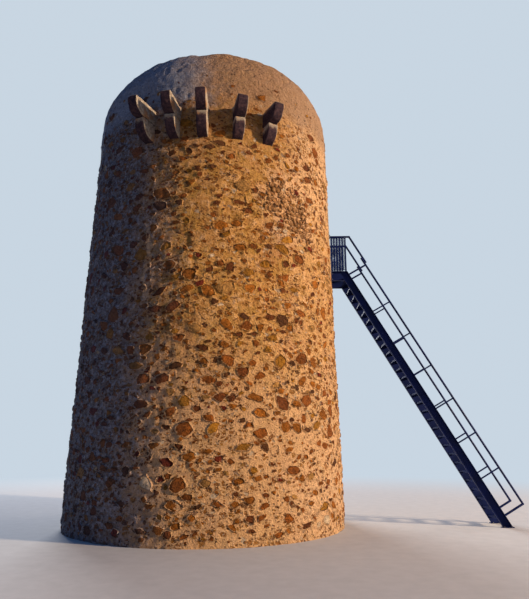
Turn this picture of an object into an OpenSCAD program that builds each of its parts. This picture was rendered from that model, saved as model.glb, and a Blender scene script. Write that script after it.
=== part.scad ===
// Round coastal watchtower of rubble masonry with a steel access stair.
// Millimetres, +Z up. The origin is on the tower's axis at the lowest ground,
// and +X runs out along the stair from the raised doorway.

/* [Tower] */
// Diameter of the tower at the lowest ground
base_d = 7630; // [7400:10:8200]
// Diameter of the leaning face where it would meet the tower's top
top_d = 7070; // [6900:10:7300]
// Height of the chamber floor, the door sill and the landing
floor_z = 7180; // [6800:10:7500]
// Height of the parapet above the wall head
parapet_h = 1500; // [1350:10:1700]

/* [Chamber] */
// Diameter of the round chamber
chamber_d = 4000; // [3600:10:4200]
// Thickness of the chamber floor
floor_t = 120; // [80:5:200]
// Height of the wall ledge that carries the dome, above the floor
spring_h = 2100; // [2050:10:2300]
// Width of that ledge
ledge_w = 150; // [100:5:250]
// Rise of the dome from the ledge to its crown
dome_rise = 1500; // [1200:10:1600]
// Thickness of the vault over the crown of the dome
crown_t = 420; // [300:10:600]
// Height of the ring of haunch masonry, up to the bed of the crown
haunch_h = 1050; // [900:10:1200]

/* [Terrace] */
// Thickness of the terrace paving
terrace_t = 100; // [60:5:150]
// Thickness of the parapet at its foot
parapet_t = 650; // [500:10:800]
// Thickness of the parapet at its top
parapet_top_t = 190; // [140:5:280]
// Height over which its outer face curves in to the top
shoulder_h = 1200; // [900:10:1300]
// Radius of its inner top edge
inner_round = 70; // [30:5:100]

/* [Doorway] */
// Clear width between the jamb stones
door_w = 800; // [700:10:900]
// Clear height below the lintel
door_h = 1900; // [1800:10:2000]
// Width of each jamb stone
jamb_w = 200; // [120:5:250]
// Depth of the jambs and the lintel, measured in from the wall face
jamb_d = 400; // [300:10:600]
// Height of the lintel stone
lintel_h = 300; // [200:10:400]
// Length of the lintel built into the wall on each side
lintel_bearing = 150; // [100:10:250]
// Depth of the sill stone, measured in from the wall face
sill_d = 550; // [450:10:800]

/* [Corbels] */
// Depth of the corbels' top beds below the wall head
corbel_drop = 390; // [350:10:500]
// Width of a corbel stone
corbel_w = 280; // [220:5:340]
// How far the upper stones stand out from the wall
corbel_top_reach = 780; // [700:10:900]
// How far the lower stones stand out from the wall
corbel_mid_reach = 430; // [350:10:500]
// How far the lowest edge stands out from the wall
corbel_low_reach = 30; // [20:5:60]
// Height of the upright band at the head of each nose
nose_band = 90; // [50:5:150]
// Length of the tails built into the wall
corbel_tail = 600; // [400:10:800]

/* [Stair] */
// Slope of the flight from level, in degrees
stair_angle = 60; // [56:1:62]
// Length of the landing from the wall face to its front edge
landing_l = 461; // [430:1:640]
// Width between the stringer webs
stair_w = 772; // [700:2:780]
// Depth of the stringers' channel sections
channel_h = 220; // [180:5:240]
// Depth of the landing's channel sections
landing_h = 290; // [250:5:320]
// Width of the channel flanges
flange_w = 80; // [70:1:100]
// Thickness of the channel flanges
flange_t = 12; // [8:1:14]
// Thickness of the channel webs
web_t = 9; // [6:1:12]
// Number of treads
tread_count = 29; // [27:1:31]
// Depth of a tread from front to back
tread_d = 200; // [160:5:220]
// Thickness of the tread and deck plates
plate_t = 8; // [5:1:10]
// Height of the folded lips of the treads and the deck
lip_h = 45; // [30:5:60]
// How far the treads' noses lie behind the stringers' front edge
tread_inset = 20; // [10:2:30]
// Thickness of the foot plates
foot_t = 15; // [10:1:25]
// How far the foot plates and the wall plates stand out round the channels
plate_margin = 35; // [25:5:45]
// Least thickness of the plates against the wall
anchor_t = 16; // [10:1:30]
// Width and depth of the cross bars under the deck
cross_bar = 50; // [40:2:70]

/* [Handrails] */
// Height of the handrail over the landing
guard_h = 1100; // [1000:10:1150]
// Diameter of the handrail tube
rail_d = 60; // [58:1:70]
// Distance of the handrail's centre line off the stringer, square to the slope
rail_off = 585; // [550:5:620]
// Diameter of the stair posts
post_d = 42; // [34:1:50]
// Diameter of the thicker topmost post
first_post_d = 54; // [46:1:56]
// Distance of the topmost post below the landing edge, along the slope
first_post_s = 106; // [90:1:140]
// Length of the topmost bay, along the slope
first_bay = 1320; // [1200:10:1340]
// Distance of the lowest post from the foot of the flight, along the slope
last_post_up = 337; // [250:1:400]
// How far the handrail's upper length stands off the line of its lower one
lap_off = 45; // [35:1:50]
// Length over which the two lie side by side
lap_l = 200; // [120:5:240]
// Diameter of the round plate where the handrail meets the wall
rose_d = 130; // [100:5:150]
// Thickness of that round plate
rose_t = 14; // [8:1:20]
// Side of the square guard posts
guard_post = 45; // [40:1:50]
// Distance from the wall face to the centre of the rear guard post
guard_post_in = 32; // [30:1:80]
// Distance from the landing's front edge to the centre of the front guard post
guard_post_out = 36; // [30:1:50]
// Width of the upright guard bars
guard_bar_w = 42; // [30:1:46]
// Thickness of the upright guard bars
guard_bar_t = 8; // [5:1:12]
// Height of the guard's lower flat above the landing
guard_low = 45; // [30:5:80]

/* [Hidden] */

$fn = 96;
// Fineness of the large rounds, so that flat pieces cut to them come out true
tower_fn = 720;
masonry = [0.66, 0.49, 0.33];
dressed = [0.46, 0.40, 0.35];
paving = [0.58, 0.50, 0.42];
steel = [0.08, 0.09, 0.13];

// Angles of the five corbel pairs round the tower, counted from the stair
corbel_angles = [-111.8, -100, -88, -73.6, -60.2];
// How much further than usual the stones of each pair reach
corbel_extra = [80, 20, 100, -80, -80];
segment_angle = 45;
post_count = 8;
guard_bar_count = 4;
// Joint left between curved faces that meet
joint = 0.3;
// How far the welds at the handrail's bends stand proud of the tube
weld = 3;
// Overrun of cutting bodies past the faces that they cut
cut = 50;

chamber_r = chamber_d / 2;
drum_top = floor_z - floor_t;
spring_z = floor_z + spring_h;
// Height of the wall head, where the terrace and the parapet start
wall_head_z = spring_z + dome_rise + crown_t;
tower_h = wall_head_z + parapet_h;
ledge_r = chamber_r + ledge_w;
dome_r = (chamber_r * chamber_r + dome_rise * dome_rise) / (2 * dome_rise);
dome_centre_z = spring_z + dome_rise - dome_r;
crown_z = spring_z + haunch_h;
parapet_r = wall_r(wall_head_z) - parapet_t;
shoulder_z = tower_h - shoulder_h;
shoulder_in = wall_r(shoulder_z) - parapet_r - parapet_top_t;
// Radius of the arc that leaves the face at the shoulder and meets the top
shoulder_r = (shoulder_h * shoulder_h + shoulder_in * shoulder_in) / (2 * shoulder_in);

slot_w = door_w + 2 * jamb_w;
head_z = floor_z + door_h;
door_face_x = wall_r(floor_z);

corbel_top_z = wall_head_z - corbel_drop;
corbel_r = wall_r(corbel_top_z);
upper_h = nose_band + corbel_top_reach - corbel_mid_reach;
lower_h = nose_band + corbel_mid_reach - corbel_low_reach;
corbel_joint_z = corbel_top_z - upper_h;
corbel_bottom_z = corbel_joint_z - lower_h;

landing_x = door_face_x + landing_l;
web_y = stair_w / 2;
rail_y = web_y + flange_w / 2;
rise = floor_z / (tread_count + 1);
// Width of the sloping channel, measured level
channel_level_w = channel_h / sin(stair_angle);
mitre = tan(stair_angle / 2);
anchor_low_z = floor_z - landing_h - plate_margin;
anchor_y = web_y - plate_margin;
anchor_x = sqrt(pow(wall_r(anchor_low_z), 2) - anchor_y * anchor_y) + anchor_t;

rail_z = floor_z + guard_h;
// Distance of the handrail's elbow from the landing edge, along the slope
top_rail_off = rail_off + lap_off;
elbow_s = (top_rail_off * cos(stair_angle) - guard_h) / sin(stair_angle);
elbow_x = landing_x + elbow_s * cos(stair_angle) + top_rail_off * sin(stair_angle);
lap_end_s = first_post_s - first_post_d;
last_post_s = foot_s(0) - last_post_up;
// Distance between the other posts, along the slope
post_gap = (last_post_s - first_post_s - first_bay) / (post_count - 2);
// Front face of the handrail's round wall plate
rose_x = sqrt(pow(wall_r(rail_z), 2) - pow(rail_y - rose_d / 2, 2)) + rose_t;
guard_rear_x = sqrt(pow(wall_r(floor_z), 2) - rail_y * rail_y) + guard_post_in;
guard_front_x = landing_x - guard_post_out;

// Radius of the tower's leaning outer face at a height
function wall_r(z) = (base_d - (base_d - top_d) * z / tower_h) / 2;

// Distance from the axis to the front edge of the stringers at a height
function stair_x(z) = landing_x + (floor_z - z) / tan(stair_angle);

// Solid of the tower's outer form between two heights, grown by a distance
module tower_body(low, high, grow = 0) {
    translate([0, 0, low])
        cylinder(h = high - low, r1 = wall_r(low) + grow, r2 = wall_r(high) + grow, $fn = tower_fn);
}

// Turns a flat section round the tower's axis between two angles
module turned(start, sweep) {
    rotate([0, 0, start])
        rotate_extrude(angle = sweep, $fn = tower_fn)
            children();
}

// Section of the chamber wall, with the ledge that carries the dome
module chamber_section() {
    polygon([
        [chamber_r, drum_top],
        [wall_r(drum_top), drum_top],
        [wall_r(wall_head_z), wall_head_z],
        [ledge_r, wall_head_z],
        [ledge_r, spring_z],
        [chamber_r, spring_z]
    ]);
}

// Corner of a section less its round, to be cut away
module corner_cut(round_r) {
    difference() {
        square(round_r + cut);
        circle(r = round_r);
    }
}

module parapet_section() {
    difference() {
        polygon([
            [parapet_r, wall_head_z],
            [wall_r(wall_head_z), wall_head_z],
            [wall_r(tower_h), tower_h],
            [parapet_r, tower_h]
        ]);
        translate([wall_r(shoulder_z) - shoulder_r, shoulder_z])
            corner_cut(shoulder_r);
        translate([parapet_r + inner_round, tower_h - inner_round])
            mirror([1, 0])
                corner_cut(inner_round);
    }
}

// Places a section drawn in the XZ plane, centred on the plane of its corbel
module at_corbel(index, width) {
    rotate([0, 0, corbel_angles[index]])
        translate([0, width / 2, 0])
            rotate([90, 0, 0])
                linear_extrude(width)
                    children();
}

// Section of a corbel stone: tail, upright nose band and quarter round below
module corbel_section(top_z, height, root_reach) {
    root_x = corbel_r + root_reach;
    round_r = height - nose_band;
    tail_x = corbel_r - corbel_tail;
    translate([tail_x, top_z - height])
        square([root_x - tail_x, height]);
    translate([root_x, top_z - nose_band])
        square([round_r, nose_band]);
    intersection() {
        translate([root_x, top_z - nose_band])
            circle(r = round_r);
        translate([root_x, top_z - height])
            square([round_r, round_r]);
    }
}

// Pockets in the wall for the tails of all the corbels
module corbel_pockets() {
    for (i = [0 : len(corbel_angles) - 1])
        at_corbel(i, corbel_w + 2 * joint)
            translate([corbel_r - corbel_tail - joint, corbel_bottom_z - joint])
                square([base_d, upper_h + lower_h + 2 * joint]);
}

// Slot of the doorway through the wall, from a height upwards
module door_slot(low) {
    translate([0, -slot_w / 2, low])
        cube([base_d, slot_w, tower_h]);
}

// Outer form of the lintel stone before its face is cut round
module lintel_block() {
    translate([door_face_x - jamb_d, -slot_w / 2 - lintel_bearing, head_z])
        cube([jamb_d + cut, slot_w + 2 * lintel_bearing, lintel_h]);
}

module wall_beside_door(start) {
    difference() {
        turned(start, segment_angle)
            chamber_section();
        door_slot(drum_top - cut);
        lintel_block();
    }
}

// Frame of the flight: X runs down the slope from the landing edge, Z stands off it
module on_slope() {
    translate([landing_x, 0, floor_z])
        rotate([0, stair_angle, 0])
            children();
}

// Puts a section drawn in the XZ plane outward from the left web
module from_left_web(width) {
    translate([0, -web_y, 0])
        rotate([90, 0, 0])
            linear_extrude(width)
                children();
}

// Where the sloping channel's foot ends at a distance off the slope
function foot_s(off) = (floor_z - foot_t + off * cos(stair_angle)) / sin(stair_angle);

// Strip of the stringer between two distances off the slope
module stringer_strip(low, high) {
    polygon([
        [-high * mitre, high],
        [foot_s(high), high],
        [foot_s(low), low],
        [-low * mitre, low]
    ]);
}

// Front end of a landing channel at a depth: at its mitre, or under the flight's channel
function landing_end(depth) = depth >= -channel_h
    ? landing_x + depth * mitre
    : landing_x - channel_h * mitre - (channel_h + depth) / tan(stair_angle);

// Strip of a landing channel between two depths below the landing
module landing_strip(low, high) {
    polygon([
        [anchor_x, floor_z + low],
        [landing_end(low), floor_z + low],
        [landing_end(high), floor_z + high],
        [anchor_x, floor_z + high]
    ]);
}

module left_stringer() {
    on_slope()
        union() {
            from_left_web(web_t)
                stringer_strip(-channel_h, 0);
            from_left_web(flange_w)
                stringer_strip(-flange_t, 0);
            from_left_web(flange_w)
                stringer_strip(-channel_h, flange_t - channel_h);
        }
}

module left_landing_channel() {
    union() {
        from_left_web(web_t)
            landing_strip(-channel_h, 0);
        from_left_web(web_t)
            landing_strip(-landing_h, -channel_h);
        from_left_web(flange_w)
            landing_strip(-flange_t, 0);
        from_left_web(flange_w)
            landing_strip(-landing_h, flange_t - landing_h);
    }
}

// Bar between the two webs, square in section
module cross_bar_at(x) {
    translate([x, -web_y, floor_z - plate_t - cross_bar])
        cube([cross_bar, stair_w, cross_bar]);
}

// Distance of a post below the landing edge, along the slope
function post_s(index) = index == 0 ? first_post_s : first_post_s + first_bay + post_gap * (index - 1);

// The end posts carry more than the ones between
function post_width(index) = index == 0 ? first_post_d : (index == post_count - 1 ? rail_d : post_d);

// Round bar along X, from a point
module bar_along_x(length, diameter) {
    rotate([0, 90, 0])
        cylinder(h = length, d = diameter);
}

// Level stretch of the handrail with its round plate, before it is cut to the wall
module left_level_rail() {
    translate([parapet_r, -rail_y, rail_z]) {
        bar_along_x(elbow_x - parapet_r, rail_d);
        bar_along_x(rose_x - parapet_r, rose_d);
    }
}

// Sloping stretch of the handrail with its posts, in the frame of the flight
module left_sloping_rail() {
    translate([elbow_s, 0, top_rail_off])
        bar_along_x(lap_end_s - elbow_s, rail_d);
    translate([lap_end_s - lap_l, 0, rail_off])
        bar_along_x(last_post_s - lap_end_s + lap_l, rail_d);
    translate([elbow_s, 0, top_rail_off])
        sphere(d = rail_d + 2 * weld);
    translate([last_post_s, 0, rail_off])
        sphere(d = rail_d + 2 * weld);
    for (i = [0 : post_count - 1])
        translate([post_s(i), 0, 0])
            cylinder(h = rail_off, d = post_width(i));
}

module left_rail() {
    union() {
        difference() {
            left_level_rail();
            tower_body(drum_top, wall_head_z, joint);
        }
        on_slope()
            translate([0, -rail_y, 0])
                left_sloping_rail();
    }
}

module left_guard() {
    top_z = rail_z - rail_d / 2 - joint;
    span = guard_front_x - guard_rear_x;
    bar_gap = span / (guard_bar_count + 1);
    union() {
        for (x = [guard_rear_x, guard_front_x])
            translate([x - guard_post / 2, -rail_y - guard_post / 2, floor_z])
                cube([guard_post, guard_post, top_z - floor_z]);
        for (z = [floor_z + guard_low, top_z - guard_bar_t])
            translate([guard_rear_x, -rail_y - guard_post / 2, z])
                cube([span, guard_post, guard_bar_t]);
        for (i = [1 : guard_bar_count])
            translate([guard_rear_x + bar_gap * i, -rail_y, floor_z + guard_low])
                translate([-guard_bar_w / 2, -guard_bar_t / 2, 0])
                    cube([guard_bar_w, guard_bar_t, top_z - floor_z - guard_low]);
    }
}

module tread_section() {
    difference() {
        translate([-tread_d, -lip_h])
            square([tread_d, lip_h]);
        translate([plate_t - tread_d, -lip_h - cut])
            square([tread_d - 2 * plate_t, lip_h - plate_t + cut]);
    }
}

// Both sides of the stair, from the left one
module both_sides() {
    children();
    mirror([0, 1, 0])
        children();
}

module base_drum() {
    color(masonry)
        tower_body(0, drum_top);
}

module chamber_floor() {
    color(paving)
        translate([0, 0, drum_top]) {
            cylinder(h = floor_t, r = chamber_r - joint, $fn = tower_fn);
            translate([0, -slot_w / 2, 0])
                cube([door_face_x - sill_d, slot_w, floor_t]);
        }
}

module chamber_wall(index) {
    color(masonry)
        difference() {
            turned(index * segment_angle, segment_angle)
                chamber_section();
            corbel_pockets();
        }
}

module wall_left_of_door() {
    color(masonry)
        wall_beside_door(-segment_angle);
}

module wall_right_of_door() {
    color(masonry)
        wall_beside_door(0);
}

module wall_over_door() {
    color(masonry)
        difference() {
            intersection() {
                turned(-segment_angle, 2 * segment_angle)
                    chamber_section();
                door_slot(head_z);
            }
            lintel_block();
        }
}

// Part of the vault between two heights, hollowed by the dome
module vault_course(low, high) {
    difference() {
        translate([0, 0, low])
            cylinder(h = high - low, r = ledge_r - joint, $fn = tower_fn);
        translate([0, 0, dome_centre_z])
            sphere(r = dome_r);
    }
}

module vault_haunch() {
    color(masonry)
        vault_course(spring_z, crown_z);
}

module vault_crown() {
    color(masonry)
        vault_course(crown_z, wall_head_z);
}

module terrace_floor() {
    color(paving)
        translate([0, 0, wall_head_z])
            cylinder(h = terrace_t, r = parapet_r - joint, $fn = tower_fn);
}

module parapet(index) {
    color(masonry)
        turned((index - 1) * segment_angle, segment_angle)
            parapet_section();
}

module corbel_upper(index) {
    color(dressed)
        at_corbel(index - 1, corbel_w)
            corbel_section(corbel_top_z, upper_h, corbel_mid_reach + corbel_extra[index - 1]);
}

module corbel_lower(index) {
    color(dressed)
        at_corbel(index - 1, corbel_w)
            corbel_section(corbel_joint_z, lower_h, corbel_low_reach + corbel_extra[index - 1]);
}

module door_threshold() {
    color(dressed)
        intersection() {
            translate([door_face_x - sill_d, -slot_w / 2, drum_top])
                cube([sill_d + cut, slot_w, floor_t]);
            tower_body(drum_top, floor_z);
        }
}

module door_jambs() {
    color(dressed)
        both_sides()
            intersection() {
                translate([door_face_x - jamb_d, -slot_w / 2, floor_z])
                    cube([jamb_d + cut, jamb_w, door_h]);
                tower_body(floor_z, head_z);
            }
}

module door_lintel() {
    color(dressed)
        intersection() {
            lintel_block();
            tower_body(head_z, head_z + lintel_h);
        }
}

module stair_stringer_left() {
    color(steel)
        left_stringer();
}

module stair_stringer_right() {
    color(steel)
        mirror([0, 1, 0])
            left_stringer();
}

module stair_treads() {
    color(steel)
        for (i = [1 : tread_count])
            translate([stair_x(i * rise) - tread_inset, web_y, i * rise])
                rotate([90, 0, 0])
                    linear_extrude(stair_w)
                        tread_section();
}

module stair_foot_plates() {
    front_x = stair_x(foot_t) + plate_margin;
    length = channel_level_w + 2 * plate_margin;
    color(steel)
        both_sides()
            translate([front_x - length, -web_y - flange_w - plate_margin, 0])
                cube([length, flange_w + 2 * plate_margin, foot_t]);
}

module landing_frame() {
    color(steel)
        union() {
            both_sides()
                left_landing_channel();
            cross_bar_at(anchor_x + plate_margin);
            cross_bar_at(landing_x - cross_bar - lip_h - plate_margin);
        }
}

module landing_deck() {
    color(steel)
        difference() {
            union() {
                translate([parapet_r, -web_y, floor_z - plate_t])
                    cube([landing_x - parapet_r, stair_w, plate_t]);
                translate([landing_x - plate_t, -web_y, floor_z - lip_h])
                    cube([plate_t, stair_w, lip_h]);
            }
            tower_body(drum_top - cut, floor_z + cut, joint);
        }
}

module landing_anchor_plates() {
    color(steel)
        both_sides()
            difference() {
                translate([parapet_r, -anchor_y - flange_w - 2 * plate_margin, anchor_low_z])
                    cube([anchor_x - parapet_r, flange_w + 2 * plate_margin, floor_z - anchor_low_z]);
                tower_body(anchor_low_z - cut, floor_z + cut, joint);
            }
}

module landing_guard_left() {
    color(steel)
        left_guard();
}

module landing_guard_right() {
    color(steel)
        mirror([0, 1, 0])
            left_guard();
}

module stair_rail_left() {
    color(steel)
        left_rail();
}

module stair_rail_right() {
    color(steel)
        mirror([0, 1, 0])
            left_rail();
}

base_drum();
chamber_floor();
chamber_wall(1);  // chamber_wall_1
chamber_wall(2);  // chamber_wall_2
chamber_wall(3);  // chamber_wall_3
chamber_wall(4);  // chamber_wall_4
chamber_wall(5);  // chamber_wall_5
chamber_wall(6);  // chamber_wall_6
wall_left_of_door();
wall_right_of_door();
wall_over_door();
vault_haunch();
vault_crown();
terrace_floor();
parapet(1);  // parapet_1
parapet(2);  // parapet_2
parapet(3);  // parapet_3
parapet(4);  // parapet_4
parapet(5);  // parapet_5
parapet(6);  // parapet_6
parapet(7);  // parapet_7
parapet(8);  // parapet_8
corbel_upper(1);  // corbel_upper_1
corbel_upper(2);  // corbel_upper_2
corbel_upper(3);  // corbel_upper_3
corbel_upper(4);  // corbel_upper_4
corbel_upper(5);  // corbel_upper_5
corbel_lower(1);  // corbel_lower_1
corbel_lower(2);  // corbel_lower_2
corbel_lower(3);  // corbel_lower_3
corbel_lower(4);  // corbel_lower_4
corbel_lower(5);  // corbel_lower_5
door_threshold();
door_jambs();
door_lintel();
stair_stringer_left();
stair_stringer_right();
stair_treads();
stair_foot_plates();
landing_frame();
landing_deck();
landing_anchor_plates();
landing_guard_left();
landing_guard_right();
stair_rail_left();
stair_rail_right();
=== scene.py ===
# Looks of the round coastal watchtower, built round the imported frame. Metres, +Z up,
# origin on the tower's axis at the lowest ground, +X out along the stair.
import math

import bpy
import numpy as np
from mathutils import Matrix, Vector


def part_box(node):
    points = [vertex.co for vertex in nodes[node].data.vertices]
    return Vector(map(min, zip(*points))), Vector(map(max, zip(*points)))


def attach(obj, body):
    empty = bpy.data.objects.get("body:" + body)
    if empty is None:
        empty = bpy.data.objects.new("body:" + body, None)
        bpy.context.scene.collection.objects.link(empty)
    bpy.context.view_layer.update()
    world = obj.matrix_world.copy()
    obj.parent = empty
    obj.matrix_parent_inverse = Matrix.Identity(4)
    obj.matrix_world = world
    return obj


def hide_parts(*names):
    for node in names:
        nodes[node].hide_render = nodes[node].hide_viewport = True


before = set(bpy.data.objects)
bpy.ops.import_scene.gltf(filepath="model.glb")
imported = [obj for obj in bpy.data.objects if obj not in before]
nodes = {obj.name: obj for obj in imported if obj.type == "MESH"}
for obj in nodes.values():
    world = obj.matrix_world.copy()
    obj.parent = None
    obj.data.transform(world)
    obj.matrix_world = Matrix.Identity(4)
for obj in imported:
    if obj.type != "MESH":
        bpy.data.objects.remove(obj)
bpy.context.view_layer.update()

scene = bpy.context.scene
fullTurn = 2 * math.pi
print("frame loaded:", len(nodes), "nodes")

view = {
    "place": (2.098, -16.591, 2.212),
    "heading": -1.65,      # degrees from +Y towards +X
    "pitch": 14.28,        # degrees above level
    "lens": 33.66, "sensor": 36, "far": 500,
}


def direction(angle, elevation):
    # unit vector at an angle from +X towards +Y and an elevation, both in degrees
    angle, elevation = math.radians(angle), math.radians(elevation)
    level = math.cos(elevation)
    return Vector((math.cos(angle) * level, math.sin(angle) * level, math.sin(elevation)))


def aimed(name, data, place, along):
    # an object that holds a camera or a lamp and looks along a vector
    holder = bpy.data.objects.new(name, data)
    holder.location = place
    holder.rotation_euler = along.to_track_quat("-Z", "Y").to_euler()
    scene.collection.objects.link(holder)
    return holder


def makeCamera():
    data = bpy.data.cameras.new("camera")
    data.lens, data.sensor_width, data.clip_end = view["lens"], view["sensor"], view["far"]
    scene.camera = aimed("camera", data, view["place"], direction(90 - view["heading"], view["pitch"]))


makeCamera()


def nodePoints(name):
    # the node's vertices as an array of rows x, y, z
    mesh = nodes[name].data
    points = np.empty(len(mesh.vertices) * 3)
    mesh.vertices.foreach_get("co", points)
    return points.reshape(-1, 3)


def radii(points):
    # distances from the tower's axis
    return np.hypot(points[:, 0], points[:, 1])


# form of the masonry, measured on the frame
near = 0.001           # tolerance of these measures
drumPoints = nodePoints("base_drum")
drumTop = drumPoints[:, 2].max()
baseRadius = radii(drumPoints)[drumPoints[:, 2] < near].max()
batter = (baseRadius - radii(drumPoints)[drumPoints[:, 2] > drumTop - near].max()) / drumTop
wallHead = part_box("terrace_floor")[0].z
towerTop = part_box("parapet_1")[1].z
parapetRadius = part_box("terrace_floor")[1].x
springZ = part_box("vault_haunch")[0].z
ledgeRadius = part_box("vault_haunch")[1].x
roomRadius = radii(nodePoints("chamber_wall_2")).min()
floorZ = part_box("chamber_floor")[1].z
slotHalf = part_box("door_jambs")[1].y
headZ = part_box("door_jambs")[1].z
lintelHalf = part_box("door_lintel")[1].y
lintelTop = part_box("door_lintel")[1].z
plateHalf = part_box("landing_anchor_plates")[1].y
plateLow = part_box("landing_anchor_plates")[0].z
corbelNodes = ["corbel_%s_%d" % (course, i) for course in ("upper", "lower") for i in range(1, 6)]
headPoints = nodePoints("parapet_1")
straight = np.abs(radii(headPoints) - baseRadius + batter * headPoints[:, 2]) < near
shoulderLow = headPoints[straight, 2].max()
shoulderRise = towerTop - shoulderLow
rimRadius = radii(headPoints)[headPoints[:, 2] > towerTop - near].max()
shoulderIn = baseRadius - batter * shoulderLow - rimRadius
shoulderBend = (shoulderRise ** 2 + shoulderIn ** 2) / (2 * shoulderIn)
print("shoulder from %.3f, rim radius %.3f, bend %.3f" % (shoulderLow, rimRadius, shoulderBend))


def wallRadius(z):
    # straight batter up to the shoulder, then a circle's arc that leaves it and curves in to the rim
    over = np.clip(z - shoulderLow, 0, shoulderRise)
    wall = baseRadius - batter * np.minimum(z, shoulderLow)
    return wall - shoulderBend + np.sqrt(shoulderBend ** 2 - over ** 2)


def onFace(angle, z):
    # the true face at an angle and a height: its radius, x and y
    r = wallRadius(z)
    return r, r * np.cos(angle), r * np.sin(angle)


def wrapped(angle):
    # the same angle, from minus to plus half a turn
    return (angle + math.pi) % fullTurn - math.pi


def circle(count):
    # angles of points spaced evenly round a circle
    return np.arange(count) * fullTurn / count


def smoothStep(low, high, value):
    # 0 below low, 1 above high, and 3t^2 - 2t^3 between
    t = np.clip((value - low) / (high - low), 0, 1)
    return t * t * (3 - 2 * t)


noiseTable = np.random.default_rng(11).uniform(-1, 1, 8192)
hashFactors = (73856093, 19349663, 83492791, 40503)


def latticeValue(*place):
    # random value from -1 to 1 of a lattice corner, looked up by a mixed hash of its coordinates and the seed
    mixed = 0
    for value, factor in zip(place, hashFactors):
        mixed = mixed ^ (value * factor)
    mixed = (mixed ^ (mixed >> 13)) * 1274126177
    return noiseTable[(mixed ^ (mixed >> 16)) & (len(noiseTable) - 1)]


def noise(x, y, z, cell, seed):
    # value noise: the eight corners of the lattice cell, blended by 3t^2 - 2t^3 along each axis
    scaled = [np.asarray(c, float) / cell for c in (x, y, z)]
    low = [np.floor(c).astype(np.int64) for c in scaled]
    t = [c - l for c, l in zip(scaled, low)]
    t = [f * f * (3 - 2 * f) for f in t]
    total = 0
    for corner in range(8):
        step = [(corner >> axis) & 1 for axis in range(3)]
        weight = 1
        for axis in range(3):
            weight = weight * (t[axis] if step[axis] else 1 - t[axis])
        total = total + weight * latticeValue(low[0] + step[0], low[1] + step[1], low[2] + step[2], seed)
    return total


def meshPiece(name, points, faceSets, values=None, colours=None, sharpAngle=50):
    # a mesh object from an array of points and arrays of faces that each have one number of corners
    mesh = bpy.data.meshes.new(name)
    corners = np.concatenate([f.ravel() for f in faceSets]).astype(np.int32)
    counts = np.concatenate([np.full(len(f), f.shape[1]) for f in faceSets])
    mesh.vertices.add(len(points))
    mesh.vertices.foreach_set("co", np.asarray(points, np.float32).ravel())
    mesh.loops.add(len(corners))
    mesh.loops.foreach_set("vertex_index", corners)
    mesh.polygons.add(len(counts))
    mesh.polygons.foreach_set("loop_start", (np.cumsum(counts) - counts).astype(np.int32))
    mesh.update(calc_edges=True)
    mesh.validate()
    for kind, member, layers in (("FLOAT", "value", values), ("FLOAT_COLOR", "color", colours)):
        for key, data in (layers or {}).items():
            layer = mesh.attributes.new(key, kind, "POINT")
            layer.data.foreach_set(member, np.asarray(data, np.float32).ravel())
    mesh.shade_smooth()
    mesh.set_sharp_from_angle(angle=math.radians(sharpAngle))
    piece = bpy.data.objects.new(name, mesh)
    scene.collection.objects.link(piece)
    return piece


def gridFaces(across, along, closeAcross=False, closeAlong=False, caps=()):
    # quads of a grid of across x along points, and flat end faces on the sides that caps names
    i = np.arange(across if closeAcross else across - 1)
    j = np.arange(along if closeAlong else along - 1)
    i, j = (a.ravel() for a in np.meshgrid(i, j, indexing="ij"))
    nextI, nextJ = (i + 1) % across, (j + 1) % along
    sets = [np.stack([i * along + j, nextI * along + j, nextI * along + nextJ, i * along + nextJ], 1)]
    rows, columns = np.arange(across) * along, np.arange(along)
    ends = {
        "low": rows[::-1],
        "high": rows + along - 1,
        "start": columns,
        "end": (columns + (across - 1) * along)[::-1],
    }
    return sets + [ends[cap][None, :] for cap in caps]


def joined(*parts):
    # points and faces of several shapes as one. Each has the points of all its copies, the faces of one copy
    # and the number of points in a copy.
    faceSets, first = [], 0
    for points, copyFaces, size in parts:
        offset = first + np.arange(len(points) // size)[:, None, None] * size
        faceSets += [(faces[None] + offset).reshape(-1, faces.shape[1]) for faces in copyFaces]
        first += len(points)
    return np.concatenate([points for points, copyFaces, size in parts]), faceSets


def finishPiece(piece, material, replaced=()):
    # gives a piece its material and body, and the nodes that it stands for
    piece.data.materials.append(material)
    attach(piece, "root")
    if replaced:
        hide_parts(*replaced)
    return piece


class Field:
    # a value or colour in a node tree; arithmetic on it adds math nodes
    def __init__(self, node, output=0):
        self.tree = node.id_data
        self.socket = node.outputs[output]

    def __add__(self, other):
        return reckon("ADD", self, other)

    def __sub__(self, other):
        return reckon("SUBTRACT", self, other)

    def __rsub__(self, other):
        return reckon("SUBTRACT", other, self)

    def __mul__(self, other):
        return reckon("MULTIPLY", self, other)

    def __abs__(self):
        return reckon("ABSOLUTE", self)


def feed(socket, value):
    # sets an input, or links it to the field that feeds it
    if isinstance(value, Field):
        value.tree.links.new(value.socket, socket)
    else:
        socket.default_value = value


def put(tree, kind, inputs=None, **settings):
    # a node with its settings and inputs
    node = tree.nodes.new(kind)
    for key, value in settings.items():
        setattr(node, key, value)
    for key, value in (inputs or {}).items():
        feed(node.inputs[key], value)
    return node


def treeOf(*values):
    return next(value.tree for value in values if isinstance(value, Field))


def reckon(operation, first, second=0.0):
    inputs = {0: first, 1: second}
    return Field(put(treeOf(first, second), "ShaderNodeMath", inputs, operation=operation))


def plus(first, *others):
    for other in others:
        first = first + other
    return first


def vector(operation, first, second):
    inputs = {0: first, 1: second}
    return Field(put(treeOf(first, second), "ShaderNodeVectorMath", inputs, operation=operation))


def step(value, low, high):
    # smooth step of a value from low to high, which may run downwards
    inputs = {"Value": value, "From Min": low, "From Max": high}
    return Field(put(value.tree, "ShaderNodeMapRange", inputs, interpolation_type="SMOOTHSTEP"), "Result")


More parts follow.
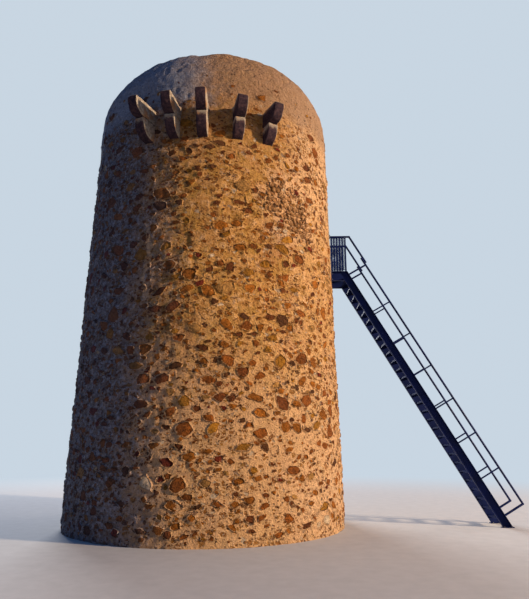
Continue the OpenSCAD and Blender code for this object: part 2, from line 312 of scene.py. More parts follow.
def ramp(value, *stops):
    # colour ramp through stops of (position, grey level or colour)
    node = put(value.tree, "ShaderNodeValToRGB", {"Fac": value})
    elements = node.color_ramp.elements
    while len(elements) < len(stops):
        elements.new(0.5)
    for element, (position, colour) in zip(elements, stops):
        element.position = position
        element.color = (*colour, 1) if isinstance(colour, tuple) else (colour, colour, colour, 1)
    return Field(node, "Color")


def mix(share, first, second, blend="MIX"):
    # the first colour with a share of the second laid over it
    inputs = {0: share}
    for index, colour in ((6, first), (7, second)):
        inputs[index] = (*colour, 1) if isinstance(colour, tuple) else colour
    tree = treeOf(share, first, second)
    return Field(put(tree, "ShaderNodeMix", inputs, data_type="RGBA", blend_type=blend), 2)


def shade(first, second):
    # product of two colours
    return mix(1.0, first, second, "MULTIPLY")


class Finish:
    # a material in the making
    def __init__(self, name, roughness, specular):
        self.material = bpy.data.materials.new(name)
        self.material.use_nodes = True
        self.tree = self.material.node_tree
        self.shader = self.tree.nodes["Principled BSDF"]
        self.give("Roughness", roughness)
        self.give("Specular IOR Level", specular)
        self.place = self.field("ShaderNodeTexCoord", "Object")

    def give(self, name, value):
        feed(self.shader.inputs[name], value)

    def field(self, kind, output=0, inputs=None, **settings):
        return Field(put(self.tree, kind, inputs, **settings), output)

    def noise(self, scale, detail, rough=0.6, distortion=0.0):
        return self.field("ShaderNodeTexNoise", "Fac", {
            "Vector": self.place, "Scale": scale, "Detail": detail,
            "Roughness": rough, "Distortion": distortion,
        })

    def cells(self, output, place, scale, feature="F1"):
        return self.field("ShaderNodeTexVoronoi", output, {"Vector": place, "Scale": scale}, feature=feature)

    def parts(self, kind, source, names):
        # a vector or a colour taken apart
        node = put(self.tree, kind, {0: source})
        return [Field(node, name) for name in names]

    def attribute(self, name, output="Fac"):
        return self.field("ShaderNodeAttribute", output, attribute_name=name)

    def done(self, colour, height, distance, strength):
        # the finished material, with its colour and a bump of that height
        self.give("Base Color", colour)
        bump = {"Height": height, "Distance": distance, "Strength": strength}
        self.give("Normal", self.field("ShaderNodeBump", "Normal", bump))
        return self.material


palette = {
    "dark": (0.30, 0.132, 0.040), "sandy": (0.48, 0.223, 0.052), "pale": (0.60, 0.318, 0.098),
    "cream": (0.70, 0.43, 0.225), "pink": (0.52, 0.262, 0.112), "ochre": (0.43, 0.225, 0.040),
    # the second tone: pale mortar of the web of packed stones, and painted light on the side to the sun
    "upper": (0.24, 0.125, 0.050), "paleAndPaintedLight": (0.76, 0.48, 0.27), "head": (0.27, 0.166, 0.104),
    # grey-blue tones of lichen and painted shade for the side away from the sun, and the dark of grime and
    # painted shade laid over its stones
    "weatherAndPaintedShade": (0.120, 0.152, 0.210), "headWeatherAndPaintedShade": (0.30, 0.355, 0.45),
    "grimeAndPaintedShade": (0.045, 0.050, 0.070), "paintedPitShade": (0.06, 0.03, 0.018),
}
mortarLook = {
    # scale, detail, roughness and distortion of each noise
    "broad": (0.45, 3), "patches": (1.5, 5), "mottle": (5.0, 6, 0.66), "clumps": (12.0, 5),
    "grain": (34, 8, 0.7), "grit": (120, 4, 0.7), "stains": (2.6, 5, 0.62, 0.6), "crowds": (0.8, 4),
    "mottling": (0.62, 0.38), "ridges": (0.7, 0.3),    # shares of mottle and clumps, of clumps and grain
    "tones": (
        (0.36, palette["dark"]), (0.44, palette["sandy"]), (0.53, palette["pale"]), (0.66, palette["cream"]),
    ),
    "grains": ((0.32, 0.66), (0.45, 0.92), (0.56, 1.06), (0.70, 1.22)),
    "raggedness": 1.6,     # how far the patches shift a band's height; bands are given 0.8 over their mean
    # how far the patches shift the edges of what lies at a distance out from the axis or from a place
    "sunShift": 1.4, "weatherShift": 1.8, "areaShift": 2.4, "runShift": 0.7,
    # tints: the field that places each, its value where the tint starts and where it is full, share, colour
    "tints": (
        ("broad", 0.46, 0.64, 0.60, "pink"), ("patches", 0.50, 0.36, 0.30, "dark"),
        # the band at the corbels' height is stains and painted shade of the corbels
        ("stains", 0.47, 0.62, 0.65, "ochre"), ("ragged", 9.2, 11.1, 0.26, "upper"),
        ("ragged", 6.6, 2.8, 0.60, "cream"),
    ),
    "headBand": (11.3, 12.2), "headShare": 0.72,       # smoother band round the head
    # side to the sun, painted paler as painted light: its angle, distances from the axis, heights, and shares
    # below and added above
    "sunAngle": -12.0, "sunReach": (2.3, 3.4), "sunHeights": (6.5, 9.5), "sunShares": (0.20, 0.32),
    # side away from the sun, tinted grey-blue and darker as lichen and painted shade: its angle and
    # distances, share on mortar, on stones and of the head's own tone
    "weatherAngle": -156.0, "weatherReach": (1.5, 3.3), "weatherShares": (0.84, 0.45, 0.55),
    "weatherTones": ((0.38, 0.25), (0.5, 0.85), (0.62, 1.9)), "weatherHead": 0.9,      # further at the head
    "oneSide": (1.0, 1.5),     # distances out from the axis over which an area starts on its side
    # round areas: angle, height, reach and how much lower than wide; width of their edge
    "patch": (-34.0, 0.9, 1.15, 1.6),                  # paler rendered patch by the foot
    "web": (-49.0, 8.2, 1.15, 1.0),                    # closely packed small stones
    "areaEdge": 0.35,
    # pale run of lime down the wall: its angle, ends and how they fade, half width, edges as shares of it
    "runAngle": -109.0, "runEnds": (5.3, 7.9), "runFade": 0.8, "runHalf": 0.07, "runSides": (1.4, 0.6),
    "runMottle": 0.35, "runRidges": (0.44, 0.52),
    "limeShares": (0.85, 0.60, 0.35, 0.70),            # of run, patch and web, and of the run over stones
    # small stones drawn in the mortar: cells in a metre, share in open and in packed places, depth
    "chips": ((6.5, 0.14, 0.54, 0.30), (13.0, 0.09, 0.40, 0.18)),
    "crowding": (0.40, 0.62), "chipWeb": 0.10, "chipHead": 0.8,        # more in the web, few on the head
    "chipEdge": 0.03, "chipJoint": (0.10, 0.19), "chipGrain": (0.62, 0.54),
    "chipTints": (
        (0.0, (0.085, 0.028, 0.010)), (0.22, (0.20, 0.066, 0.010)), (0.5, (0.31, 0.108, 0.012)),
        (0.72, (0.40, 0.180, 0.030)), (0.86, (0.13, 0.032, 0.010)), (0.97, (0.62, 0.48, 0.32)),
    ),
    "chipShare": 0.9, "squash": (1, 1, 1.5),
    "warp": (0.13, 0.13, 0.13), "warpNoise": {"Scale": 7, "Detail": 4},
    "pitScale": 13.0, "pitSize": (0.26, 0.14), "pitClumps": (0.47, 0.56), "pitShare": 0.8, "pitDepth": -0.7,
    # larger stones: how mortar lies over their edges and ridges, and their tones
    "stoneRagged": -2.2, "stoneEdge": (0.34, 0.54), "stoneBare": (0.71, 0.64),
    "stoneTones": ((0.34, 0.45), (0.46, 0.88), (0.56, 1.12), (0.66, 1.35)),
    "heights": (0.9, 0.8, 0.40, 0.10), "bump": 0.12,       # of mottle, clumps, grain and grit
}


def rubbleMaterial():
    # pale lime mortar with grains, pits and small stones; the larger stones' share and tint come by attribute
    look = mortarLook
    finish = Finish("rubble_masonry", 0.92, 0.25)
    x, y, z = finish.parts("ShaderNodeSeparateXYZ", finish.place, "XYZ")
    fields = {key: finish.noise(*look[key]) for key in ("broad", "patches", "stains")}
    mottle, clumps, grain, grit = (finish.noise(*look[key]) for key in ("mottle", "clumps", "grain", "grit"))
    fields["ragged"] = z + fields["patches"] * look["raggedness"]
    uneven = fields["patches"] - 0.5
    mottleShare, clumpShare = look["mottling"]
    colour = ramp(mottle * mottleShare + clumps * clumpShare, *look["tones"])
    for source, low, high, share, tint in look["tints"]:
        colour = mix(step(fields[source], low, high) * share, colour, palette[tint])

    def towards(angle):
        # distance out from the tower's axis in the direction of an angle
        turned = math.radians(angle)
        return x * math.cos(turned) + y * math.sin(turned)

    def roundArea(angle, height, reach, squeeze):
        # 1 inside a ragged round area of the wall
        aside, rise = towards(angle + 90), (z - height) * squeeze
        away = reckon("SQRT", aside * aside + rise * rise) + uneven * look["areaShift"]
        return step(away, reach, reach - look["areaEdge"]) * step(towards(angle), *look["oneSide"])

    # paler on the side to the sun, and more so higher up: painted light
    low, more = look["sunShares"]
    paintedSunlight = step(z, *look["sunHeights"]) * more + low
    paintedSunlight = paintedSunlight * step(towards(look["sunAngle"]) + uneven * look["sunShift"], *look["sunReach"])
    colour = mix(paintedSunlight, colour, palette["paleAndPaintedLight"])
    head = step(fields["ragged"], *look["headBand"])
    colour = mix(head * look["headShare"], colour, palette["head"])

    runShare, patchShare, webShare, overShare = look["limeShares"]
    aside = towards(look["runAngle"] + 90) + uneven * look["runShift"] + (mottle - 0.5) * look["runMottle"]
    run = step(abs(aside), *(look["runHalf"] * side for side in look["runSides"]))
    run = run * step(towards(look["runAngle"]), *look["oneSide"])
    (low, high), fade = look["runEnds"], look["runFade"]
    run = run * step(z, low, low + fade) * step(z, high, high - fade)
    packing = roundArea(*look["web"])
    lime = reckon("MAXIMUM", run * runShare, roundArea(*look["patch"]) * patchShare)
    colour = mix(packing * webShare, colour, palette["paleAndPaintedLight"])
    colour = mix(lime, colour, palette["cream"])
    grainShade = ramp(grain, *look["grains"])
    colour = shade(colour, grainShade)

    # on the side away from the sun the mortar, chips and stones go grey-blue and darker: lichen, with painted
    # shade
    onMortar, onStones, onHead = look["weatherShares"]
    clumpShare, grainShare = look["ridges"]
    ridge = clumps * clumpShare + grain * grainShare
    shaded = towards(look["weatherAngle"]) + uneven * look["weatherShift"] + head * look["weatherHead"]
    shaded = step(shaded, *look["weatherReach"])
    tone = shade(palette["weatherAndPaintedShade"], ramp(ridge, *look["weatherTones"]))
    colour = mix(shaded * onMortar, colour, mix(head * onHead, tone, palette["headWeatherAndPaintedShade"]))
    grimeAndShadeShare = shaded * onStones

    warp = finish.field("ShaderNodeTexNoise", "Color", {"Vector": finish.place, **look["warpNoise"]})
    bent = vector("ADD", finish.place, vector("MULTIPLY", warp, look["warp"]))
    flat = vector("MULTIPLY", bent, look["squash"])
    crowded = step(finish.noise(*look["crowds"]), *look["crowding"])
    sunk = []
    for scale, few, many, depth in look["chips"]:
        random, hue = finish.parts("ShaderNodeSeparateColor", finish.cells("Color", flat, scale), (0, 1))
        bar = {"Value": crowded, "To Min": 1 - few, "To Max": 1 - many}
        bar = finish.field("ShaderNodeMapRange", "Result", bar) - packing * look["chipWeb"]
        chip = step(random - bar, -look["chipEdge"], look["chipEdge"])
        chip = chip * step(finish.cells("Distance", flat, scale, "DISTANCE_TO_EDGE"), *look["chipJoint"])
        chip = chip * (1.0 - lime) * (1.0 - head * look["chipHead"]) * step(grain, *look["chipGrain"])
        tint = mix(grimeAndShadeShare, ramp(hue, *look["chipTints"]), palette["grimeAndPaintedShade"])
        colour = mix(chip * look["chipShare"], colour, shade(tint, grainShade))
        sunk.append(chip * -depth)

    # pits darkened as painted shade, and sunk by the bump
    pits = finish.cells("Distance", bent, look["pitScale"], "SMOOTH_F1")
    pit = step(pits, *look["pitSize"]) * step(clumps, *look["pitClumps"])
    colour = mix(pit * look["pitShare"], colour, palette["paintedPitShade"])

    tint = mix(grimeAndShadeShare, finish.attribute("stoneTint", "Color"), palette["grimeAndPaintedShade"])
    share = finish.attribute("stoneShare") + (ridge - 0.5) * look["stoneRagged"]
    share = step(share, *look["stoneEdge"]) * step(ridge, *look["stoneBare"])
    colour = mix(share, colour, shade(tint, ramp(ridge, *look["stoneTones"])))
    colour = mix(run * step(ridge, *look["runRidges"]) * overShare, colour, palette["cream"])
    rough = [part * share for part, share in zip((mottle, clumps, grain, grit), look["heights"])]
    height = plus(*rough, plus(*sunk), pit * look["pitDepth"])
    return finish.done(colour, height, look["bump"], 1.0)


def dressedMaterial():
    # weathered cut stone: grey-brown with warm stains and fine pitting, with black crust and painted shade
    # where the attribute says so
    finish = Finish("dressed_stone", 0.9, 0.15)
    patches, mottle, grain = finish.noise(3.0, 5), finish.noise(14, 6, 0.7), finish.noise(70, 6, 0.7)
    colour = ramp(mottle, (0.32, (0.16, 0.115, 0.085)), (0.46, (0.29, 0.23, 0.17)),
                  (0.58, (0.40, 0.34, 0.26)), (0.70, (0.52, 0.46, 0.37)))
    colour = mix(step(patches, 0.5, 0.64), colour, (0.33, 0.17, 0.08))
    crustAndPaintedShade = ramp(mottle, (0.34, (0.016, 0.010, 0.016)), (0.5, (0.036, 0.020, 0.027)),
                 (0.68, (0.085, 0.045, 0.045)))
    colour = mix(step(finish.attribute("grimeAndPaintedShade") + (mottle - 0.5) * 1.6, 0.25, 0.75), colour, crustAndPaintedShade)
    colour = shade(colour, ramp(grain, (0.3, 0.6), (0.5, 0.95), (0.7, 1.3)))
    return finish.done(colour, mottle * 0.7 + grain * 0.4, 0.02, 0.8)


def plasterMaterial():
    # smoke-stained lime plaster of the chamber and the vault
    finish = Finish("lime_plaster", 0.9, 0.25)
    patches, grain = finish.noise(1.2, 6, 0.65), finish.noise(40, 6, 0.7)
    colour = ramp(patches, (0.35, (0.30, 0.22, 0.15)), (0.5, (0.52, 0.42, 0.31)), (0.65, (0.66, 0.57, 0.45)))
    colour = shade(colour, ramp(grain, (0.3, 0.8), (0.7, 1.15)))
    return finish.done(colour, patches + grain * 0.3, 0.02, 0.7)


def pavingMaterial():
    # brick tiles laid in lime, worn and stained
    finish = Finish("worn_paving", 0.88, 0.25)
    patches, grain = finish.noise(1.5, 5), finish.noise(45, 6, 0.7)
    tiles = put(finish.tree, "ShaderNodeTexBrick", {
        "Vector": finish.place, "Scale": 1.0, "Brick Width": 0.29, "Row Height": 0.145, "Mortar Size": 0.008,
        "Mortar Smooth": 0.3, "Color1": (0.36, 0.20, 0.12, 1), "Color2": (0.46, 0.30, 0.19, 1),
        "Mortar": (0.52, 0.43, 0.33, 1),
    })
    colour = mix(step(patches, 0.42, 0.62), Field(tiles, "Color"), (0.45, 0.36, 0.26))
    colour = shade(colour, ramp(grain, (0.3, 0.7), (0.7, 1.2)))
    return finish.done(colour, Field(tiles, "Fac") * -0.5 + grain * 0.3, 0.012, 0.8)


def paintedSteel(name):
    # dark blue paint with a slight orange-peel, dust and a few specks of rust
    finish = Finish(name, 0.5, 0.14)
    patches, fine = finish.noise(2.2, 5), finish.noise(55, 5, 0.65)
    colour = ramp(patches, (0.35, (0.0020, 0.0075, 0.045)), (0.55, (0.0030, 0.0105, 0.072)),
                  (0.72, (0.0055, 0.0155, 0.092)))
    colour = mix(step(patches + fine * 0.6, 0.98, 1.12) * 0.12, colour, (0.06, 0.05, 0.045))
    colour = mix(step(finish.noise(9, 6, 0.7), 0.69, 0.73) * 0.5, colour, (0.07, 0.022, 0.010))
    finish.give("Roughness", ramp(patches, (0.3, 0.42), (0.7, 0.62)))
    return finish, colour, fine


def steelMaterial():
    finish, colour, fine = paintedSteel("dark_paint")
    return finish.done(colour, fine, 0.0012, 0.5)


chequer = {
    "pitch": 0.040, "reach": 0.44, "waist": 0.13,      # of the grid, half length and width of a lozenge
    "specular": 0.04, "metal": (0.050, 0.048, 0.050),
    "scuff": 0.6, "scuffSides": (0.34, 0.10),          # share of bare metal, and its reach to each side
}


def treadMaterial():
    # the same paint on chequer plate: long lozenges raised on a slanted grid, turned a quarter in every other
    # cell, with the paint scuffed to dull metal and dust where feet fall
    finish, colour, fine = paintedSteel("chequer_plate")
    finish.give("Specular IOR Level", chequer["specular"])
    x, y, z = finish.parts("ShaderNodeSeparateXYZ", finish.place, "XYZ")
    slanted = [both * (1 / chequer["pitch"]) for both in (x + y, x - y)]
    inCell = [reckon("FRACT", value) - 0.5 for value in slanted]
    odd = reckon("FLOORED_MODULO", reckon("FLOOR", slanted[0]) + reckon("FLOOR", slanted[1]), 2.0)
    turn = odd * (inCell[1] - inCell[0])
    lozenge = abs(inCell[0] + turn) * (1 / chequer["reach"]) + abs(inCell[1] - turn) * (1 / chequer["waist"])
    normal = finish.field("ShaderNodeTexCoord", "Normal")
    level = step(finish.parts("ShaderNodeSeparateXYZ", normal, "Z")[0], 0.5, 0.9)
    raised = step(lozenge, 1.0, 0.55) * level
    scuffed = step(abs(y), *chequer["scuffSides"]) * level * step(fine + raised * 0.12, 0.44, 0.62)
    colour = mix(scuffed * chequer["scuff"], colour, chequer["metal"])
    return finish.done(colour, raised + fine * 0.15, 0.0020, 1.0)


def zincMaterial():
    # weathered zinc of bolts and screws, dull with brown stains
    finish = Finish("weathered_zinc", 0.55, 0.4)
    finish.give("Metallic", 0.6)
    stains = finish.noise(60, 5, 0.65)
    colour = ramp(stains, (0.38, (0.10, 0.05, 0.03)), (0.5, (0.20, 0.19, 0.18)), (0.65, (0.34, 0.34, 0.33)))
    return finish.done(colour, stains, 0.0008, 0.6)


rubble = rubbleMaterial()
dressed = dressedMaterial()
plaster = plasterMaterial()
paving = pavingMaterial()
steel = steelMaterial()
tread = treadMaterial()
zinc = zincMaterial()
print("materials made")

# larger stones of the rubble, scattered over the unrolled outer face. Each size has its cell of the scatter,
# the shares of cells that hold a stone outside and inside the web, jitter in a cell, half length, its spread
# and limits, main corners, points on a side, width of the mortar's lip and height of the relief
sizeKeys = ("cell", "share", "packed", "jitter", "half", "spread", "limits", "sides", "cuts", "lip", "rise")
stoneSizes = [dict(zip(sizeKeys, row)) for row in (
    (0.56, 0.80, 0, 0.42, 0.165, 0.18, (0.130, 0.260), 6, 3, 0.065, 1.4),
    (0.38, 0.95, 0, 0.42, 0.105, 0.15, (0.080, 0.135), 5, 3, 0.050, 1.2),
    (0.24, 0.85, 0, 0.42, 0.063, 0.20, (0.045, 0.085), 5, 2, 0.034, 0.9),
    (0.17, 0.45, 0, 0.42, 0.034, 0.20, (0.024, 0.048), 4, 2, 0.022, 0.5),
    (0.138, 0.0, 1, 0.13, 0.060, 0.12, (0.046, 0.070), 5, 2, 0.018, 1.6),
)]
# closely packed small stones in a slanting patch of the wall: its centre, half length, half width and slope
web = {
    "angle": -49.0, "height": 8.22, "long": 1.22, "wide": 0.52, "slope": 36.0,
    "edge": (1.1, 0.8), "wave": 0.35, "waveCell": 0.35,    # how its edge fades and wavers, in half sizes
    "tint": (0.44, 0.222, 0.082), "tintShare": 0.85,
}
thinning = {
    "mean": 0.86, "groups": 0.50, "groupCell": 1.3,            # share of stones, and how far groups change it
    "high": 0.26, "highFrom": (6.0, 8.5),                      # fewer by this share over these heights
    "head": 0.85, "headFrom": (9.7, 10.9), "headWave": 0.5, "headCell": 0.9,
}
clearance = {
    # least distances of a stone, some as shares of its half length
    "foot": (1.05, 0.03), "shoulder": 0.4, "beside": (0.6, 0.14), "above": 0.5,
    "own": 0.03,
}
stoneForm = {
    "flatness": (0.46, 0.88), "packedFlatness": 0.20,       # half height over half length
    "apart": 0.95, "apartUp": 1.35,                         # least distance over the sum of half lengths
    "aim": 0.34, "reach": (0.72, 1.22),                     # main corners of the outline
    "bulge": 0.30, "chip": 0.09, "turn": 0.28,
    "crest": (0.010, 0.024),       # height of the mortar's ragged crest round a stone
    "under": (-0.004, 0.018),      # how far a stone's face lies under that crest
    "packedUp": 0.004, "dome": (0.001, 0.007), "tilt": 0.045, "bumps": 0.002, "ragged": 0.004,
    "gape": 0.022, "gapeAt": 3.0,  # depth of a fallen-out crevice, and its angle on packed stones
    "gapeSettled": 0.8, "gapeOdds": 1.5,   # how alike the angles of packed stones are; higher is rarer
    "joint": (0.010, 0.012),       # least width of the joint round a stone, and what may be added
    "crestBumps": 1.6, "crestOver": 0.001,
    "plainCorners": 8,             # stones of so few corners have no inner ring
    "rimUnder": 0.003, "lipUnder": 0.008, "sunk": 0.035,
    "inner": 0.55, "outer": 0.90, "innerDome": 0.75,       # rings of the face, as shares of the outline
    "shares": (0.85, 0.60, 0.25),                          # of stone in the mortar: outer ring, rim and crest
    "rimDark": (0.45, -0.30), "gapeDark": (0.45, 0.20),    # rim darker as a dark joint and painted shade by this, and by this if packed; its crevice darker as painted shade by this, and by this if packed
    "lightness": (0.75, 1.2),
}
stoneTints = np.array([
    (0.33, 0.105, 0.008), (0.26, 0.074, 0.007), (0.16, 0.044, 0.007), (0.19, 0.026, 0.006),
    (0.38, 0.160, 0.014), (0.11, 0.038, 0.009), (0.42, 0.210, 0.055), (0.62, 0.460, 0.290),
])
stoneOdds = np.array([0.30, 0.25, 0.17, 0.05, 0.12, 0.06, 0.05, 0.01])
random = np.random.default_rng(3)
meanGirth = fullTurn * wallRadius(towerTop / 2)


def stoneDensity(angle, z):
    # thinner high up and most of all round the head, closer in ragged groups
    r, x, y = onFace(angle, z)
    grouped = thinning["mean"] + thinning["groups"] * noise(x, y, z, thinning["groupCell"], 31)
    wavy = z + thinning["headWave"] * noise(x, y, z, thinning["headCell"], 37)
    head = 1 - thinning["head"] * smoothStep(*thinning["headFrom"], wavy)
    return grouped * head * (1 - thinning["high"] * smoothStep(*thinning["highFrom"], z))


def inWeb(angle, z):
    # 1 in a ragged ellipse on the unrolled wall, whose long axis slopes down to the right
    slope = math.radians(web["slope"])
    r, x, y = onFace(angle, z)
    aside, rise = r * wrapped(angle - math.radians(web["angle"])), z - web["height"]
    along = (aside * math.cos(slope) - rise * math.sin(slope)) / web["long"]
    across = (aside * math.sin(slope) + rise * math.cos(slope)) / web["wide"]
    wavy = np.hypot(along, across) + web["wave"] * noise(x, y, z, web["waveCell"], 41)
    return smoothStep(*web["edge"], wavy)


def boxAngle(low, high):
    # angle round the tower of a box's middle
    return math.atan2(low.y + high.y, low.x + high.x)


def keptOff(angle, z, reach):
    # true where a stone would run over the doorway's stones, the wall plates or a corbel
    r, x, y = onFace(angle, z)
    off = (np.abs(y) < lintelHalf + reach) & (z > plateLow - reach) & (z < lintelTop + reach) & (x > 0)
    share, least = clearance["foot"]
    off |= (z < reach * share + least) | (z > shoulderLow + clearance["shoulder"] - reach)
    (share, least), up = clearance["beside"], reach * clearance["above"]
    for name in corbelNodes:
        low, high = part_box(name)
        gap = np.abs(wrapped(angle - boxAngle(low, high))) * r
        off |= (gap < least + reach * share) & (z > low.z - up) & (z < high.z + up)
    return off


def picked(group, which):
    return {key: values[which] for key, values in group.items()}


def touching(group, other):
    # table of the pairs, one stone from each group, that would touch
    across = wrapped(group["angle"][:, None] - other["angle"]) * wallRadius(group["z"])[:, None]
    apart = np.hypot(across, stoneForm["apartUp"] * (group["z"][:, None] - other["z"]))
    return apart < stoneForm["apart"] * (group["half"][:, None] + other["half"])


def scatterStones():
    # one jittered place for each cell of the grid, thinned by the density and by larger neighbours
    placed = []
    for spec in stoneSizes:
        rows, columns = round(towerTop / spec["cell"]), round(meanGirth / spec["cell"])
        row, column = (a.ravel() for a in np.meshgrid(np.arange(rows), np.arange(columns), indexing="ij"))
        count = len(row)
        jitter = random.uniform(-1, 1, (2, count)) * spec["jitter"]
        z = (row + 0.5 + jitter[0]) * towerTop / rows
        angle = (column + 0.5 + jitter[1] + 0.5 * (row % 2)) * fullTurn / columns
        half = (spec["half"] * np.exp(spec["spread"] * random.normal(0, 1, count))).clip(*spec["limits"])
        flatness = random.uniform(*stoneForm["flatness"], count)
        flatness = flatness + stoneForm["packedFlatness"] * spec["packed"]
        inside = inWeb(angle, z)
        chance = spec["share"] * stoneDensity(angle, z) * (1 - inside) + spec["packed"] * inside
        kept = (random.random(count) < chance) & ~keptOff(angle, z, half + clearance["own"])
        group = picked({"angle": angle, "z": z, "half": half, "flat": half * flatness}, kept)
        keep = np.ones(len(group["z"]), bool)
        for _, other in placed:
            keep &= ~touching(group, other).any(1)
        for sweep in range(8):
            # of two of one size that would touch, the later one goes
            left = np.flatnonzero(keep)
            rest = picked(group, left)
            close = touching(rest, rest) & (left[:, None] > left)
            if not close.any():
                break
            keep[left[close.any(1)]] = False
        placed.append((spec, picked(group, keep)))
    return placed


stones = scatterStones()
print("stones placed:", [len(group["z"]) for spec, group in stones])


def shapeStones(spec, group):
    # outline: a ring of main corners at jittered angles and reaches, and points on its sides that bulge a bit
    form = stoneForm
    count, sides, cuts = len(group["z"]), spec["sides"], spec["cuts"]
    aim = np.arange(sides) + random.uniform(-form["aim"], form["aim"], (count, sides))
    aim = aim + random.random((count, 1))
    aim = aim * 2 * math.pi / sides
    reach = random.uniform(*form["reach"], (count, sides))
    corner = np.stack([reach * np.cos(aim), reach * np.sin(aim)], -1)
    share = (np.arange(cuts) / cuts)[None, None, :, None]
    points = corner[:, :, None] * (1 - share) + np.roll(corner, -1, 1)[:, :, None] * share
    points = points * (1 + form["bulge"] * share * (1 - share))
    points = points.reshape(count, sides * cuts, 2)
    points = points * (1 + form["chip"] * random.uniform(-1, 1, points.shape[:2]))[..., None]
    u, v = group["half"][:, None] * points[..., 0], group["flat"][:, None] * points[..., 1]
    turn = random.normal(0, form["turn"], (count, 1))
    group["u"] = u * np.cos(turn) - v * np.sin(turn)
    group["v"] = u * np.sin(turn) + v * np.cos(turn)


for spec, group in stones:
    shapeStones(spec, group)

relief = {
    # height, cell and seed of each noise
    "waves": ((0.020, 1.8, 1), (0.012, 0.62, 2), (0.014, 0.24, 3), (0.010, 0.12, 5)),
    "pit": 0.026, "pitCell": 0.16,
    "back": 0.006,         # how far the mortar between the stones stands back
    "fade": 0.16,          # width over which the relief dies out round the doorway
    "flush": -0.003,       # level of the masonry beside dressed stones and plates
}


def wallRelief(angle, z):
    # how far the mortar stands off the true face: swells, waves and ripples less pits, calm by the doorway
    r, x, y = onFace(angle, z)
    height = -relief["back"]
    for part, cell, seed in relief["waves"]:
        height = height + part * noise(x, y, z, cell, seed)
    height = height - relief["pit"] * smoothStep(0.35, 0.8, noise(x, y, z, relief["pitCell"], 4))
    outside = np.maximum(np.abs(y) - lintelHalf, np.maximum(plateLow - z, z - lintelTop))
    outside = np.where(x < 0, 1.0, outside)
    calm = smoothStep(0, relief["fade"], outside)
    return relief["flush"] + (height - relief["flush"]) * calm


def ringPoints(angle, r, z):
    # points at an angle, a radius and a height, as an array whose last axis is x, y, z
    return np.stack([r * np.cos(angle), r * np.sin(angle), z * np.ones_like(r * angle)], -1)


skin = {
    "columns": 520, "rowStep": 0.046, "doorColumns": 29, "plasterRows": 26,
    "plasterWave": 0.006, "plasterCell": 0.5,
    "headBack": 0.3,       # how far the underside over the doorway keeps behind the face
}


def skinRows(low, high):
    # heights of a skin's rows
    return np.linspace(low, high, round((high - low) / skin["rowStep"]) + 1)


def masonryPiece(name, points, replaced, **edges):
    # a piece of masonry from a grid of points
    piece = meshPiece(name, points.reshape(-1, 3), gridFaces(*points.shape[:2], **edges))
    return finishPiece(piece, rubble, replaced)


def drumMasonry():
    # lower masonry: a cone of radius wallRadius(z) plus relief, with flat ends
    angle, z = np.broadcast_arrays(circle(skin["columns"])[:, None], skinRows(0, drumTop)[None, :])
    points = ringPoints(angle, wallRadius(z) + wallRelief(angle, z), z)
    masonryPiece("drum_masonry", points, ["base_drum"], closeAcross=True, caps=("low", "high"))


def chamberMasonry():
    # chamber wall: a closed section carried round from one side of the door's slot to the other.
    # At radius r the ring runs from asin(slot / r) to the same angle on the far side.
    up, inner = skinRows(drumTop, wallHead), np.linspace(springZ, drumTop, skin["plasterRows"])
    z = np.concatenate([up, [wallHead, springZ], inner])
    r = np.concatenate([wallRadius(up), [ledgeRadius, ledgeRadius], np.full(len(inner), roomRadius)])
    share = (np.arange(skin["columns"]) / (skin["columns"] - 1))[:, None]
    start = np.arcsin(slotHalf / r)[None, :]
    angle = start + share * (fullTurn - 2 * start)
    z, r = np.broadcast_to(z, angle.shape), np.broadcast_to(r, angle.shape).copy()
    outer, inside = slice(0, len(up)), slice(len(up) + 3, None)
    r[:, outer] += wallRelief(angle[:, outer], z[:, outer])
    waves = noise(r * np.cos(angle), r * np.sin(angle), z, skin["plasterCell"], 8)
    r[:, inside] += skin["plasterWave"] * waves[:, inside]
    start = np.arcsin(slotHalf / r)
    points = ringPoints(start + share * (fullTurn - 2 * start), r, z)
    walls = ["chamber_wall_%d" % i for i in range(1, 7)] + ["wall_left_of_door", "wall_right_of_door"]
    piece = masonryPiece("chamber_masonry", points, walls, closeAlong=True, caps=("start", "end"))
    piece.data.materials.append(plaster)
    centres = np.empty(len(piece.data.polygons) * 3)
    piece.data.polygons.foreach_get("center", centres)
    indoors = radii(centres.reshape(-1, 3)) < ledgeRadius + 0.01
    piece.data.polygons.foreach_set("material_index", indoors.astype(np.int32))


def doorHeadMasonry():
    # masonry over the doorway, between the two planes of the slot: a grid across it and round its section
    up = skinRows(headZ, wallHead)
    z = np.concatenate([up, [wallHead, springZ, springZ, headZ]])
    r = np.concatenate([wallRadius(up), [ledgeRadius, ledgeRadius, roomRadius, roomRadius]])
    y = np.linspace(-slotHalf, slotHalf, skin["doorColumns"])[:, None]
    z, r, y = np.broadcast_arrays(z[None, :], r[None, :], y)
    r = r.copy()
    outer = slice(0, len(up))
    angle = np.arcsin(y / r)
    r[:, outer] += wallRelief(angle[:, outer], z[:, outer])
    r[:, 0] = np.minimum(r[:, 0], wallRadius(headZ) - skin["headBack"])
    points = np.stack([np.sqrt(r * r - y * y), y, z], -1)
    masonryPiece("door_head_masonry", points, ["wall_over_door"], closeAlong=True, caps=("start", "end"))


parapet = {
    "innerRound": 0.07, "step": 0.042, "wear": 0.022, "wearCell": 0.45, "fineWear": 0.010, "fineCell": 0.13,
    "lean": 0.070, "leanAngle": -10,       # how far the head has settled to one side, and that side's angle
    "rise": 0.105, "riseAngle": -72, "riseSharp": 8,       # how much higher the rim stands on one side
    "wearBias": 0.3, "insideWear": 0.5,
    "hollow": 0.035,                       # how far the shoulder has worn back
    # upward or outward part of the normal over which each starts: the outer face, the worn rim, the hollow
    "outerTurn": (-0.2, 0.5), "rimTurn": (0.45, 0.9), "hollowTurn": (0.15, 0.5), "hollowEnd": (0.95, 0.6),
}


